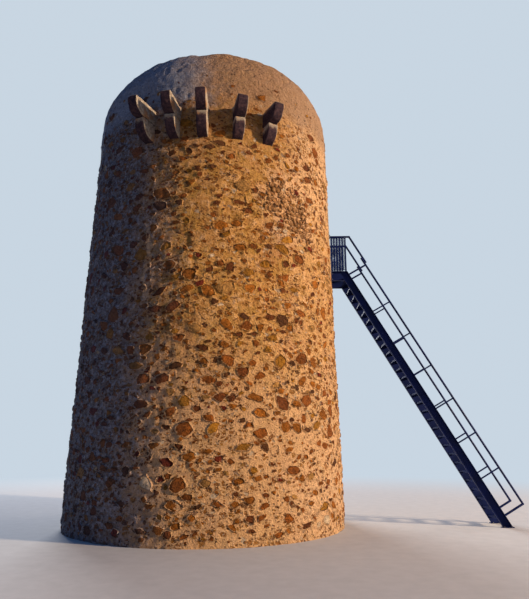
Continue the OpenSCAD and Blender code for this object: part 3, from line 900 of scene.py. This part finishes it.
def evenPoints(corners, spacing, closed=False):
    # points spaced evenly along an outline
    run = np.concatenate([[0], np.cumsum(np.hypot(*np.diff(corners, axis=0).T))])
    count = int(run[-1] / spacing) if closed else round(run[-1] / spacing)
    at = np.arange(count if closed else count + 1) * run[-1] / count
    return np.stack([np.interp(at, run, corners[:, axis]) for axis in (0, 1)], 1)


def normals(ahead):
    # unit normals to the right of the directions of an outline that runs anticlockwise
    ahead = ahead / np.hypot(*ahead.T)[:, None]
    return np.stack([ahead[:, 1], -ahead[:, 0]], 1)


def parapetMasonry():
    # parapet: up the outer face and the shoulder's arc, over the rim and down the inner face, carried all the
    # way round; each point moves along the section's normal by the relief outside and by wear on the rim
    up = np.linspace(wallHead, towerTop, 40)
    innerRound = parapet["innerRound"]
    back = np.linspace(math.pi / 2, math.pi, 6)
    section = evenPoints(np.concatenate([
        np.stack([wallRadius(up), up], 1),
        np.stack([parapetRadius + innerRound + innerRound * np.cos(back),
                  towerTop - innerRound + innerRound * np.sin(back)], 1),
        [(parapetRadius, wallHead)],
    ]), parapet["step"])
    for sweep in range(2):
        section[1:-1] = 0.5 * section[1:-1] + 0.25 * (section[:-2] + section[2:])
    normal = normals(np.gradient(section, axis=0))
    angle = circle(skin["columns"])[:, None]
    angle, r, z = np.broadcast_arrays(angle, section[None, :, 0], section[None, :, 1])
    outR, outZ = normal[None, :, 0], normal[None, :, 1]
    x, y = r * np.cos(angle), r * np.sin(angle)
    worn = parapet["wear"] * (noise(x, y, z, parapet["wearCell"], 21) - parapet["wearBias"])
    worn = worn + parapet["fineWear"] * noise(x, y, z, parapet["fineCell"], 22)
    outside = smoothStep(*parapet["outerTurn"], outR)
    height = wallRelief(angle, z) * outside + parapet["insideWear"] * worn * (1 - outside)
    height = height + worn * smoothStep(*parapet["rimTurn"], outZ)
    hollow = parapet["hollow"] * smoothStep(*parapet["hollowTurn"], outZ)
    height = height - hollow * smoothStep(*parapet["hollowEnd"], outZ) * outside
    height[:, 0] = wallRelief(angle, z)[:, 0]
    outR, outZ = outR * np.ones_like(height), outZ * np.ones_like(height)
    outR[:, 0], outZ[:, 0], outR[:, -1], outZ[:, -1] = 1, 0, -1, 0
    share = np.clip((z - wallHead) / (towerTop - wallHead), 0, 1) ** 2
    r = r + share * parapet["lean"] * np.cos(angle - math.radians(parapet["leanAngle"]))
    seaward = 0.5 + 0.5 * np.cos(angle - math.radians(parapet["riseAngle"]))
    raised = share * parapet["rise"] * seaward ** parapet["riseSharp"]
    points = ringPoints(angle, r + height * outR, np.minimum(z + height * outZ, towerTop) + raised)
    replaced = ["parapet_%d" % i for i in range(1, 9)]
    masonryPiece("parapet_masonry", points, replaced, closeAcross=True, closeAlong=True)


drumMasonry()
chamberMasonry()
doorHeadMasonry()
parapetMasonry()
print("masonry skins made")


def stoneRings(spec, group, seeded):
    # Rings of points round each stone: its face, its rim with a fallen-out crevice on one side, the ragged
    # crest of the mortar round it, and a foot sunk in the wall, all tilted a little. Each has its offsets
    # along and up the wall, height off the relief, share of stone in the mortar and shade of the tint.
    form, rise, packed = stoneForm, spec["rise"], spec["packed"]
    u, v, half = group["u"], group["v"], group["half"][:, None]
    single = (len(u), 1)
    crestHeight = seeded.uniform(*form["crest"], single) * rise
    level = crestHeight - seeded.uniform(*form["under"], single) * rise + form["packedUp"] * packed
    dome = seeded.uniform(*form["dome"], single) * rise
    slope = seeded.normal(0, form["tilt"], (2, *single))
    gapeAt = seeded.uniform(0, fullTurn, single) * (1 - form["gapeSettled"] * packed)
    gapeAt = gapeAt + form["gapeAt"] * packed
    gape = np.maximum(0, np.cos(circle(u.shape[1]) - gapeAt)) ** 2
    gape = gape * np.maximum(packed, seeded.uniform(0.0, 1.0, single) ** form["gapeOdds"])
    bumps = seeded.normal(0, form["bumps"], (3, *u.shape)) * rise
    rim = level - form["rimUnder"] * rise - form["gape"] * rise * gape
    ragged = seeded.uniform(-form["ragged"], form["ragged"], u.shape) * rise
    crest = crestHeight + bumps[1] * form["crestBumps"] + ragged
    spread = 1 + (form["joint"][0] + form["joint"][1] * seeded.random(u.shape)) / half
    foot = 1 + spec["lip"] / half
    centre = np.zeros(single)
    tilt = slope[0] * u + slope[1] * v
    dark, morePacked = form["rimDark"]
    gapeDark, moreDark = form["gapeDark"]
    # the rim's tint darkened as a dark joint and painted shade, and as painted shade most of all where the
    # crevice gapes
    rimShade = 1 - dark - morePacked * packed - (gapeDark + moreDark * packed) * gape
    inner, outer = form["inner"], form["outer"]
    outerShare, rimShare, crestShare = form["shares"]
    rings = [(centre, centre, level + dome, 1.0, 1)]
    if u.shape[1] > form["plainCorners"]:
        faceUp = level + dome * form["innerDome"] + bumps[0] + inner * tilt
        rings.append((u * inner, v * inner, faceUp, 1.0, 1))
    return rings + [
        (u * outer, v * outer, level + bumps[2] + outer * tilt, outerShare, 1),
        (u, v, rim + tilt, rimShare, rimShade),
        (u * spread, v * spread, np.maximum(crest, rim + tilt + form["crestOver"]), crestShare, 1),
        (u * foot, v * foot, np.full_like(u, -form["lipUnder"]), 0.0, 1),
        (centre, centre, centre - form["sunk"], 0.0, 1),
    ]


def stoneFaces(corners, bands):
    # faces of one stone: bands between its rings, and fans to its first and last point
    k = np.arange(corners)
    nextK = (k + 1) % corners
    start = 1 + corners * np.arange(bands)
    top = np.stack([np.zeros_like(k), start[0] + k, start[0] + nextK], 1)
    bottom = np.stack([np.full_like(k, start[-1] + corners), start[-1] + nextK, start[-1] + k], 1)
    sides = [np.stack([a + k, b + k, b + nextK, a + nextK], 1) for a, b in zip(start[:-1], start[1:])]
    return np.concatenate(sides), np.concatenate([top, bottom])


def stonePiece(name, low, high):
    # the stones whose middles lie between two heights
    parts, shareSets, tintSets = [], [], []
    for spec, group in stones:
        group = picked(group, (group["z"] >= low) & (group["z"] < high))
        count, corners = group["u"].shape
        if not count:
            continue
        seeded = np.random.default_rng(int(low * 100) + corners)
        rings = stoneRings(spec, group, seeded)
        angle, z = group["angle"][:, None], group["z"][:, None]
        places, shares, shades = [], [], []
        for u, v, height, share, shadow in rings:
            atZ = np.maximum(z + v, 0)
            atAngle = angle + u / wallRadius(atZ)
            places.append(ringPoints(atAngle, wallRadius(atZ) + wallRelief(atAngle, atZ) + height, atZ))
            shares.append(np.full(u.shape, share))
            shades.append(shadow * np.ones(u.shape))
        tint = stoneTints[seeded.choice(len(stoneTints), count, p=stoneOdds / stoneOdds.sum())]
        tint = tint + web["tintShare"] * spec["packed"] * (np.array(web["tint"]) - tint)
        tint = tint * seeded.uniform(*stoneForm["lightness"], (count, 1))
        tint = tint[:, None, :] * np.concatenate(shades, 1)[..., None]
        size = tint.shape[1]
        tintSets.append(np.concatenate([tint, np.ones((count, size, 1))], 2).reshape(-1, 4))
        shareSets.append(np.concatenate(shares, 1).ravel())
        points = np.concatenate(places, 1).reshape(-1, 3)
        parts.append((points, stoneFaces(corners, len(rings) - 2), size))
    piece = meshPiece(
        name, *joined(*parts),
        {"stoneShare": np.concatenate(shareSets)}, {"stoneTint": np.concatenate(tintSets)}, 40,
    )
    finishPiece(piece, rubble)
    print(name, sum(len(p.vertices) - 2 for p in piece.data.polygons), "triangles")


stonePiece("rubble_stones_foot", 0.0, 4.0)
stonePiece("rubble_stones_middle", 4.0, 8.0)
stonePiece("rubble_stones_head", 8.0, 13.0)

corbel = {
    "noseBand": 0.09,      # upright band at the head of the nose
    "step": 0.025,         # spacing of the points round the section
    "edgeRound": 0.022,    # rounding of the worn edges
    "wear": 0.007, "wearCell": 0.09,
    "chip": 0.020, "chipCell": 0.12,
    "cleanAndLit": 0.75, "cleanFrom": 0.45,      # how free of crust and painted shade a lower stone's top is, and from where
    "crustTurn": (0.75, -0.1),             # upward part of the normal over which the crust and painted shade start
    "crustSide": 0.035,                    # how far it stays off the side faces
}


wearing = {
    "coarser": 1.4,        # spacing across a stone over that round its section
    "bendPoints": 5,       # on each rounded edge, and the least number on the flat
    "edgeReach": 0.10,     # how far from an edge it counts as near
    "bias": 0.6,           # keeps the wear going inward
    "chips": (0.25, 0.7), "chipShares": (0.3, 0.7),        # depth on the flat and what edges add to it
    "sideShare": 0.5, "sideCell": 0.07,
}


def wornStone(outline, width, look, seed):
    # a closed outline in distance and height, spaced evenly and softened, carried across a width with rounded
    # ends; then each point moves in along its normal by noise, and further where a chip lies near an edge
    section = evenPoints(np.vstack([outline, outline[:1]]), look["step"], closed=True)
    section = 0.5 * section + 0.25 * (np.roll(section, 1, 0) + np.roll(section, -1, 0))
    normal = normals(np.roll(section, -1, 0) - np.roll(section, 1, 0))
    edge, side = look["edgeRound"], width / 2
    bend = np.linspace(0, math.pi / 2, wearing["bendPoints"])
    count = max(wearing["bendPoints"], round(width / look["step"] / wearing["coarser"]))
    flat = np.linspace(-side + edge, side - edge, count)[1:-1]
    place = np.concatenate([-side + edge * (1 - np.sin(bend[::-1])), flat, side - edge * (1 - np.sin(bend))])
    inset = np.concatenate([edge * (1 - np.cos(bend[::-1])), np.zeros(len(flat)), edge * (1 - np.cos(bend))])
    a = section[None, :, 0] - inset[:, None] * normal[None, :, 0]
    h = section[None, :, 1] - inset[:, None] * normal[None, :, 1]
    w = np.broadcast_to(place[:, None], a.shape)
    nearEdge = smoothStep(wearing["edgeReach"], 0.0, side - np.abs(w))
    push = look["wear"] * (noise(a, w, h, look["wearCell"], seed) - wearing["bias"])
    chipped = smoothStep(*wearing["chips"], noise(a, w, h, look["chipCell"], seed + 50))
    onFlat, atEdge = wearing["chipShares"]
    push -= look["chip"] * chipped * (onFlat + atEdge * nearEdge)
    a, h = a + push * normal[None, :, 0], h + push * normal[None, :, 1]
    h = np.clip(h, outline[:, 1].min(), outline[:, 1].max())
    sideWear = nearEdge * wearing["sideShare"] * look["wear"]
    w = w - np.sign(w) * sideWear * (1 + noise(a, w, h, wearing["sideCell"], seed + 90))
    return a, w, h, normal, gridFaces(*a.shape, closeAlong=True, caps=("start", "end"))


def wornCorbel(name, seed):
    # section of the node: tail, quarter round and upright band
    local = nodePoints(name)
    low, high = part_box(name)
    where = boxAngle(low, high)
    along = local[:, 0] * math.cos(where) + local[:, 1] * math.sin(where)
    across = -local[:, 0] * math.sin(where) + local[:, 1] * math.cos(where)
    tail, tip, width = along.min(), along.max(), across.max() - across.min()
    middle = (across.max() + across.min()) / 2
    top, bottom = high.z, low.z
    roundR = top - bottom - corbel["noseBand"]
    root = tip - roundR
    arc = np.linspace(-math.pi / 2, 0, 14)
    outline = np.concatenate([
        [(tail, bottom), (root, bottom)],
        np.stack([root + roundR * np.cos(arc), top - corbel["noseBand"] + roundR * np.sin(arc)], 1)[1:],
        [(tip, top), (tail, top)],
    ])
    a, w, h, normal, faces = wornStone(outline, width, corbel, seed)
    x = a * math.cos(where) - (w + middle) * math.sin(where)
    y = a * math.sin(where) + (w + middle) * math.cos(where)
    # crust and painted shade on faces that turn down, kept off the side faces; a lower stone's top is kept
    # lighter as painted light
    under = smoothStep(*corbel["crustTurn"], normal[None, :, 1])
    under = under * smoothStep(0.0, corbel["crustSide"], width / 2 - w)
    if name.startswith("corbel_lower"):
        cleanAndLit = smoothStep(bottom + corbel["cleanFrom"] * (top - bottom), top, h)
        under = under * (1 - corbel["cleanAndLit"] * cleanAndLit)
    points = np.stack([x, y, h], -1).reshape(-1, 3)
    piece = meshPiece("worn_" + name, points, faces, {"grimeAndPaintedShade": under}, sharpAngle=60)
    finishPiece(piece, dressed, [name])


for seed, name in enumerate(corbelNodes):
    wornCorbel(name, 200 + seed)
print("corbels worn")

doorStone = {
    "step": 0.026, "edgeRound": 0.016,
    "wear": 0.006, "wearCell": 0.10,
    "chip": 0.016, "chipCell": 0.14,
    "jambStones": 5,
    "joint": 0.012,        # open joint between two stones
    "bed": 0.014,          # how far the mortar in the joints stands back
    "proud": 0.012,        # how far the stones stand off the wall's true face before they are worn
    "hollow": 0.014,       # depth that feet have worn into the threshold
    "hollowHalf": 0.24,
}


def doorBlock(outline, left, right, seed, look=doorStone, proud=doorStone["proud"]):
    # a worn stone between two sides of the doorway, from its back to the leaning wall face, with its front
    # bent round the tower: x = sqrt(a^2 - y^2)
    back, low, high = outline
    front = [(wallRadius(z) + proud, z) for z in (low, high)]
    section = np.array([(back, low), *front, (back, high)])
    a, w, h, normal, faces = wornStone(section, right - left, look, seed)
    y = w + (left + right) / 2
    return np.stack([np.sqrt(a * a - y * y), y, h], -1).reshape(-1, 3), faces


def joinBlocks(name, blocks, replaced):
    # several blocks as one mesh; the last number of each says which of the two materials it has
    marks = [np.full(len(f), mark) for (points, faces), mark in blocks for f in faces]
    parts = [(points, faces, len(points)) for (points, faces), mark in blocks]
    piece = meshPiece(name, *joined(*parts), sharpAngle=60)
    finishPiece(piece, dressed, [replaced])
    piece.data.materials.append(rubble)
    piece.data.polygons.foreach_set("material_index", np.concatenate(marks).astype(np.int32))


def doorStones():
    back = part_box("door_jambs")[0].x
    inner = slotHalf - (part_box("door_jambs")[1].y - np.abs(nodePoints("door_jambs")[:, 1]).min())
    half, bed = doorStone["joint"] / 2, doorStone["bed"]
    levels = np.linspace(floorZ, headZ, doorStone["jambStones"] + 1)
    bedLook = dict(doorStone, step=0.06, edgeRound=0.004, wear=0.002, chip=0)
    blocks = []
    for side in (-1, 1):
        for i, (low, high) in enumerate(zip(levels[:-1], levels[1:])):
            sides = sorted((side * inner, side * slotHalf))
            outline = (back, low + half * (i > 0), high - half)
            blocks.append((doorBlock(outline, *sides, 300 + 10 * i + side), 0))
        sides = sorted((side * (inner + bed), side * slotHalf))
        blocks.append((doorBlock((back + bed, floorZ, headZ), *sides, 340 + side, bedLook, -bed), 1))
    joinBlocks("worn_door_jambs", blocks, "door_jambs")
    lintel = doorBlock((back, headZ, lintelTop), -lintelHalf, lintelHalf, 360)
    joinBlocks("worn_door_lintel", [(lintel, 0)], "door_lintel")
    outline = (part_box("door_threshold")[0].x, drumTop, floorZ)
    points, faces = doorBlock(outline, -slotHalf, slotHalf, 370)
    trodden = np.exp(-(points[:, 1] / doorStone["hollowHalf"]) ** 2)
    points[:, 2] -= doorStone["hollow"] * trodden * smoothStep(floorZ - 0.05, floorZ - 0.01, points[:, 2])
    joinBlocks("worn_door_threshold", [((points, faces), 0)], "door_threshold")


doorStones()
print("door stones worn")

fitting = {
    # turned shapes: radius, foot, top, depth and radius of the worn edge at the top, sides
    "washer": (0.0135, -0.001, 0.003, 0.001, 0.0125, 20),
    "nut": (0.0108, 0.001, 0.013, 0.002, 0.0108 * 0.88, 6),
    "stud": (0.0058, 0.002, 0.018, 0.001, 0.0058 * 0.8, 12),
    "screw": (0.0065, -0.001, 0.005, 0.003, 0.0065 * 0.6, 12),
    "screwRing": 0.047, "screwAngles": (90, 210, 330),
    "plateShares": (0.2, 0.72), "footShares": (0.22, 0.78),    # places of the bolts along the plates
    "weld": 0.0045, "weldUp": 0.001,       # thickness and lift of the weld round the foot of a post
    "postGap": 0.1,        # least distance between two posts' feet
    "plateDown": 0.03,     # from a handrail's top to the middle of its round plate
    "plateReach": (0.06, 0.07),            # distances of the plate's edge from that middle
}


def lathe(radius, foot, top, edge, topRadius, sides):
    # a shape turned in flat sides, from its foot to the worn edge of its top
    profile = np.array([(radius, foot), (radius, top - edge), (topRadius, top)])
    turn = circle(sides)[:, None]
    radius, height = profile[None, :, 0], profile[None, :, 1]
    points = np.stack([radius * np.cos(turn), radius * np.sin(turn), height + 0 * turn], -1)
    return points.reshape(-1, 3), gridFaces(sides, len(profile), closeAcross=True, caps=("low", "high"))


def zincPiece(name, shapes, places, axes):
    # copies of turned shapes at their places, each with its own height axis
    places, axes = np.array(places, float), np.array(axes, float)
    sideways = np.tile((0.0, 1.0, 0.0), (len(places), 1))
    across = np.cross(axes, sideways)
    parts = []
    for shape, faces in shapes:
        moved = (places[:, None] + shape[None, :, 0, None] * sideways[:, None]
                 + shape[None, :, 1, None] * across[:, None] + shape[None, :, 2, None] * axes[:, None])
        parts.append((moved.reshape(-1, 3), faces, len(shape)))
    finishPiece(meshPiece(name, *joined(*parts), sharpAngle=30), zinc)


def plateBolts():
    # four bolts on each plate, in the margins beside the channel that stands on it
    places, axes = [], []
    webHalf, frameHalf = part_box("landing_deck")[1].y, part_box("landing_frame")[1].y
    margins = (webHalf - (plateHalf - frameHalf) / 2, (plateHalf + frameHalf) / 2)
    for name, along, shares, axis in (
        ("landing_anchor_plates", 2, fitting["plateShares"], (1, 0, 0)),
        ("stair_foot_plates", 0, fitting["footShares"], (0, 0, 1)),
    ):
        low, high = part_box(name)
        for y in (side * margin for side in (-1, 1) for margin in margins):
            for share in shares:
                place = [high.x, y, high.z]
                place[along] = low[along] + share * (high[along] - low[along])
                places.append(place)
                axes.append(axis)
    zincPiece("plate_bolts", [lathe(*fitting[part]) for part in ("washer", "nut", "stud")], places, axes)


def postWelds():
    # a ring of weld round the foot of each post, and screws in the round plates of the handrails by the wall
    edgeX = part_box("landing_deck")[1].x
    corner = np.array([edgeX, 0, floorZ])
    foot = nodePoints("stair_stringer_left")
    slope = math.atan2(floorZ - foot[:, 2].min(), foot[:, 0].max() - edgeX)
    down = np.array([math.cos(slope), 0, -math.sin(slope)])
    off = np.array([math.sin(slope), 0, math.cos(slope)])
    around, section = 20, 6
    turn, tube = circle(around)[:, None], circle(section)[None, :]
    thick = fitting["weld"]
    welds, screws = [], []
    for name in ("stair_rail_left", "stair_rail_right"):
        points = nodePoints(name)
        feet = points[np.abs((points - corner) @ off) < near]
        along = np.sort((feet - corner) @ down)
        railY = (feet[:, 1].min() + feet[:, 1].max()) / 2
        for group in np.split(along, np.flatnonzero(np.diff(along) > fitting["postGap"]) + 1):
            centre = np.array([edgeX, railY, floorZ]) + down * (group.min() + group.max()) / 2
            centre = centre + off * fitting["weldUp"]
            reach = (group.max() - group.min()) / 2 + 0.2 * thick + thick * np.cos(tube)
            ring = (centre + (reach * np.cos(turn))[..., None] * down
                    + (reach * np.sin(turn))[..., None] * np.array([0, 1.0, 0])
                    + (thick * np.sin(tube) + 0 * turn)[..., None] * off)
            welds.append(ring.reshape(-1, 3))
        railZ = points[:, 2].max() - fitting["plateDown"]
        away = np.hypot(points[:, 1] - railY, points[:, 2] - railZ)
        nearest, furthest = fitting["plateReach"]
        plate = points[(away > nearest) & (away < furthest) & (points[:, 0] < edgeX)]
        for a in np.radians(fitting["screwAngles"]):
            ring = fitting["screwRing"]
            screws.append((plate[:, 0].max(), railY + ring * math.cos(a), railZ + ring * math.sin(a)))
    faces = gridFaces(around, section, closeAcross=True, closeAlong=True)[0][:, ::-1]
    welds = joined((np.concatenate(welds), [faces], around * section))
    finishPiece(meshPiece("post_welds", *welds), steel)
    zincPiece("rail_screws", [lathe(*fitting["screw"])], screws, [(1, 0, 0)] * len(screws))


guardMesh = {
    "pitch": 0.010,        # height of a row of strands
    "half": 0.020,         # length of one slanted strand
    "strand": 0.0060, "thick": 0.0020, "stagger": 0.0004,
    "edge": 0.050,         # height of the mesh's lower edge above the deck
    "under": 0.006,        # how far its upper edge lies under the guard's top
    "post": 0.043,         # reach of a post from the guard's end
    "flat": 0.004,         # half the thickness of the upright bars
}


def expandedMetal(name):
    # expanded metal inside a guard's bars: rows of zigzag strands of height row * pitch +- pitch / 2, each a
    # flat section carried along, so that neighbouring rows meet at every second corner
    look = guardMesh
    low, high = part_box(name)
    middle = (low.y + high.y) / 2
    plane = middle - math.copysign(look["flat"] + 0.7 * look["thick"], middle)
    start, end = low.x + look["post"], high.x - look["post"]
    bottom, top = floorZ + look["edge"], high.z - look["under"]
    rows, columns = int((top - bottom) / look["pitch"]) - 1, int((end - start) / look["half"])
    row, column = np.arange(rows)[:, None, None], np.arange(columns + 1)[None, :, None]
    x = start + (end - start) * column / columns
    z = bottom + look["pitch"] * (row + 1) + 0.5 * look["pitch"] * (1 - 2 * ((row + column) % 2))
    slope = math.atan2(look["pitch"], look["half"])
    reach = (look["thick"] / 2, look["strand"] / 2 / math.cos(slope))
    corner = np.array([(-1, -1), (1, -1), (1, 1), (-1, 1)]) * reach
    y = plane + corner[None, None, :, 0] + look["stagger"] * (1 - 2 * (row % 2))
    points = np.stack(np.broadcast_arrays(x, y, z + corner[None, None, :, 1]), -1)
    faces = gridFaces(columns + 1, 4, closeAlong=True, caps=("start", "end"))
    strands = joined((points.reshape(-1, 3), faces, (columns + 1) * 4))
    title = name.replace("landing_guard", "guard_mesh")
    finishPiece(meshPiece(title, *strands, sharpAngle=30), steel)


plateBolts()
postWelds()
for name in ("landing_guard_left", "landing_guard_right"):
    expandedMetal(name)
print("bolts, welds and guard mesh made")


def dressNode(name, material):
    # puts a material on a node that keeps its own mesh
    mesh = nodes[name].data
    mesh.materials.clear()
    mesh.materials.append(material)


for name in ("vault_haunch", "vault_crown"):
    dressNode(name, plaster)
for name in ("chamber_floor", "terrace_floor"):
    dressNode(name, paving)
for name in nodes:
    if name in ("stair_treads", "landing_deck"):
        dressNode(name, tread)
    elif name.startswith(("stair_", "landing_")):
        dressNode(name, steel)
print("nodes dressed")

studio = {
    "floorSize": 400,
    "floorColour": (0.47, 0.46, 0.445),
    "backdrop": (0.58, 0.67, 0.76, 1),     # what the camera sees beyond the floor
    "sky": (0.22, 0.53, 1.32, 1), "skyStrength": 0.22,
    "fade": (10.0, 26.0),                  # distances between which the floor goes over to the backdrop
    # angle round the tower, height in degrees, distance, size, power and colour of each lamp
    "lamps": {
        "key": (-21, 13, 60, 3.2, 59500, (1.0, 0.76, 0.53)),
        "fill": (-86, 4, 60, 20.0, 1000, (1.0, 0.80, 0.60)),
        "rim": (32, 10, 60, 16.0, 8500, (1.0, 0.87, 0.76)),
        "back": (112, 22, 60, 28.0, 42000, (0.94, 0.96, 1.0)),     # for the side that the photograph hides
    },
}


def areaLight(name, angle, elevation, reach, size, power, colour):
    # a square lamp on a sphere round the middle of the tower, facing it
    away = direction(angle, elevation)
    data = bpy.data.lights.new(name, "AREA")
    data.energy, data.size, data.color = power, size, colour
    aimed(name, data, Vector((0, 0, towerTop / 2)) + away * reach, -away)


def makeFloor():
    # a plain floor that goes over to the backdrop where only the camera looks at it
    half = studio["floorSize"] / 2
    corners = np.array([(-half, -half, 0), (half, -half, 0), (half, half, 0), (-half, half, 0)], float)
    floor = meshPiece("floor", corners, [np.array([[0, 1, 2, 3]])])
    finish = Finish("floor", 0.9, 0.2)
    tree = finish.tree
    speckle = ramp(finish.noise(3.0, 6), (0.3, 0.94), (0.7, 1.05))
    finish.give("Base Color", shade(studio["floorColour"], speckle))
    away = finish.field("ShaderNodeVectorMath", "Value", {0: finish.place}, operation="LENGTH")
    far = step(away, *studio["fade"]) * finish.field("ShaderNodeLightPath", "Is Camera Ray")
    haze = finish.field("ShaderNodeEmission", 0, {"Color": studio["backdrop"]})
    faded = finish.field("ShaderNodeMixShader", 0, {0: far, 1: Field(finish.shader), 2: haze})
    feed(tree.nodes["Material Output"].inputs["Surface"], faded)
    floor.data.materials.append(finish.material)


def makeWorld():
    # a dim blue sky, which the camera sees as the backdrop
    world = bpy.data.worlds.new("studio")
    world.use_nodes = True
    tree = world.node_tree
    sky = tree.nodes["Background"]
    feed(sky.inputs["Color"], studio["sky"])
    feed(sky.inputs["Strength"], studio["skyStrength"])
    backdrop = Field(put(tree, "ShaderNodeBackground", {"Color": studio["backdrop"]}))
    direct = Field(put(tree, "ShaderNodeLightPath"), "Is Camera Ray")
    both = Field(put(tree, "ShaderNodeMixShader", {0: direct, 1: Field(sky), 2: backdrop}))
    feed(tree.nodes["World Output"].inputs["Surface"], both)
    scene.world = world


makeFloor()
makeWorld()
for name, settings in studio["lamps"].items():
    areaLight(name, *settings)
scene.view_settings.view_transform = "Standard"
print("studio made")
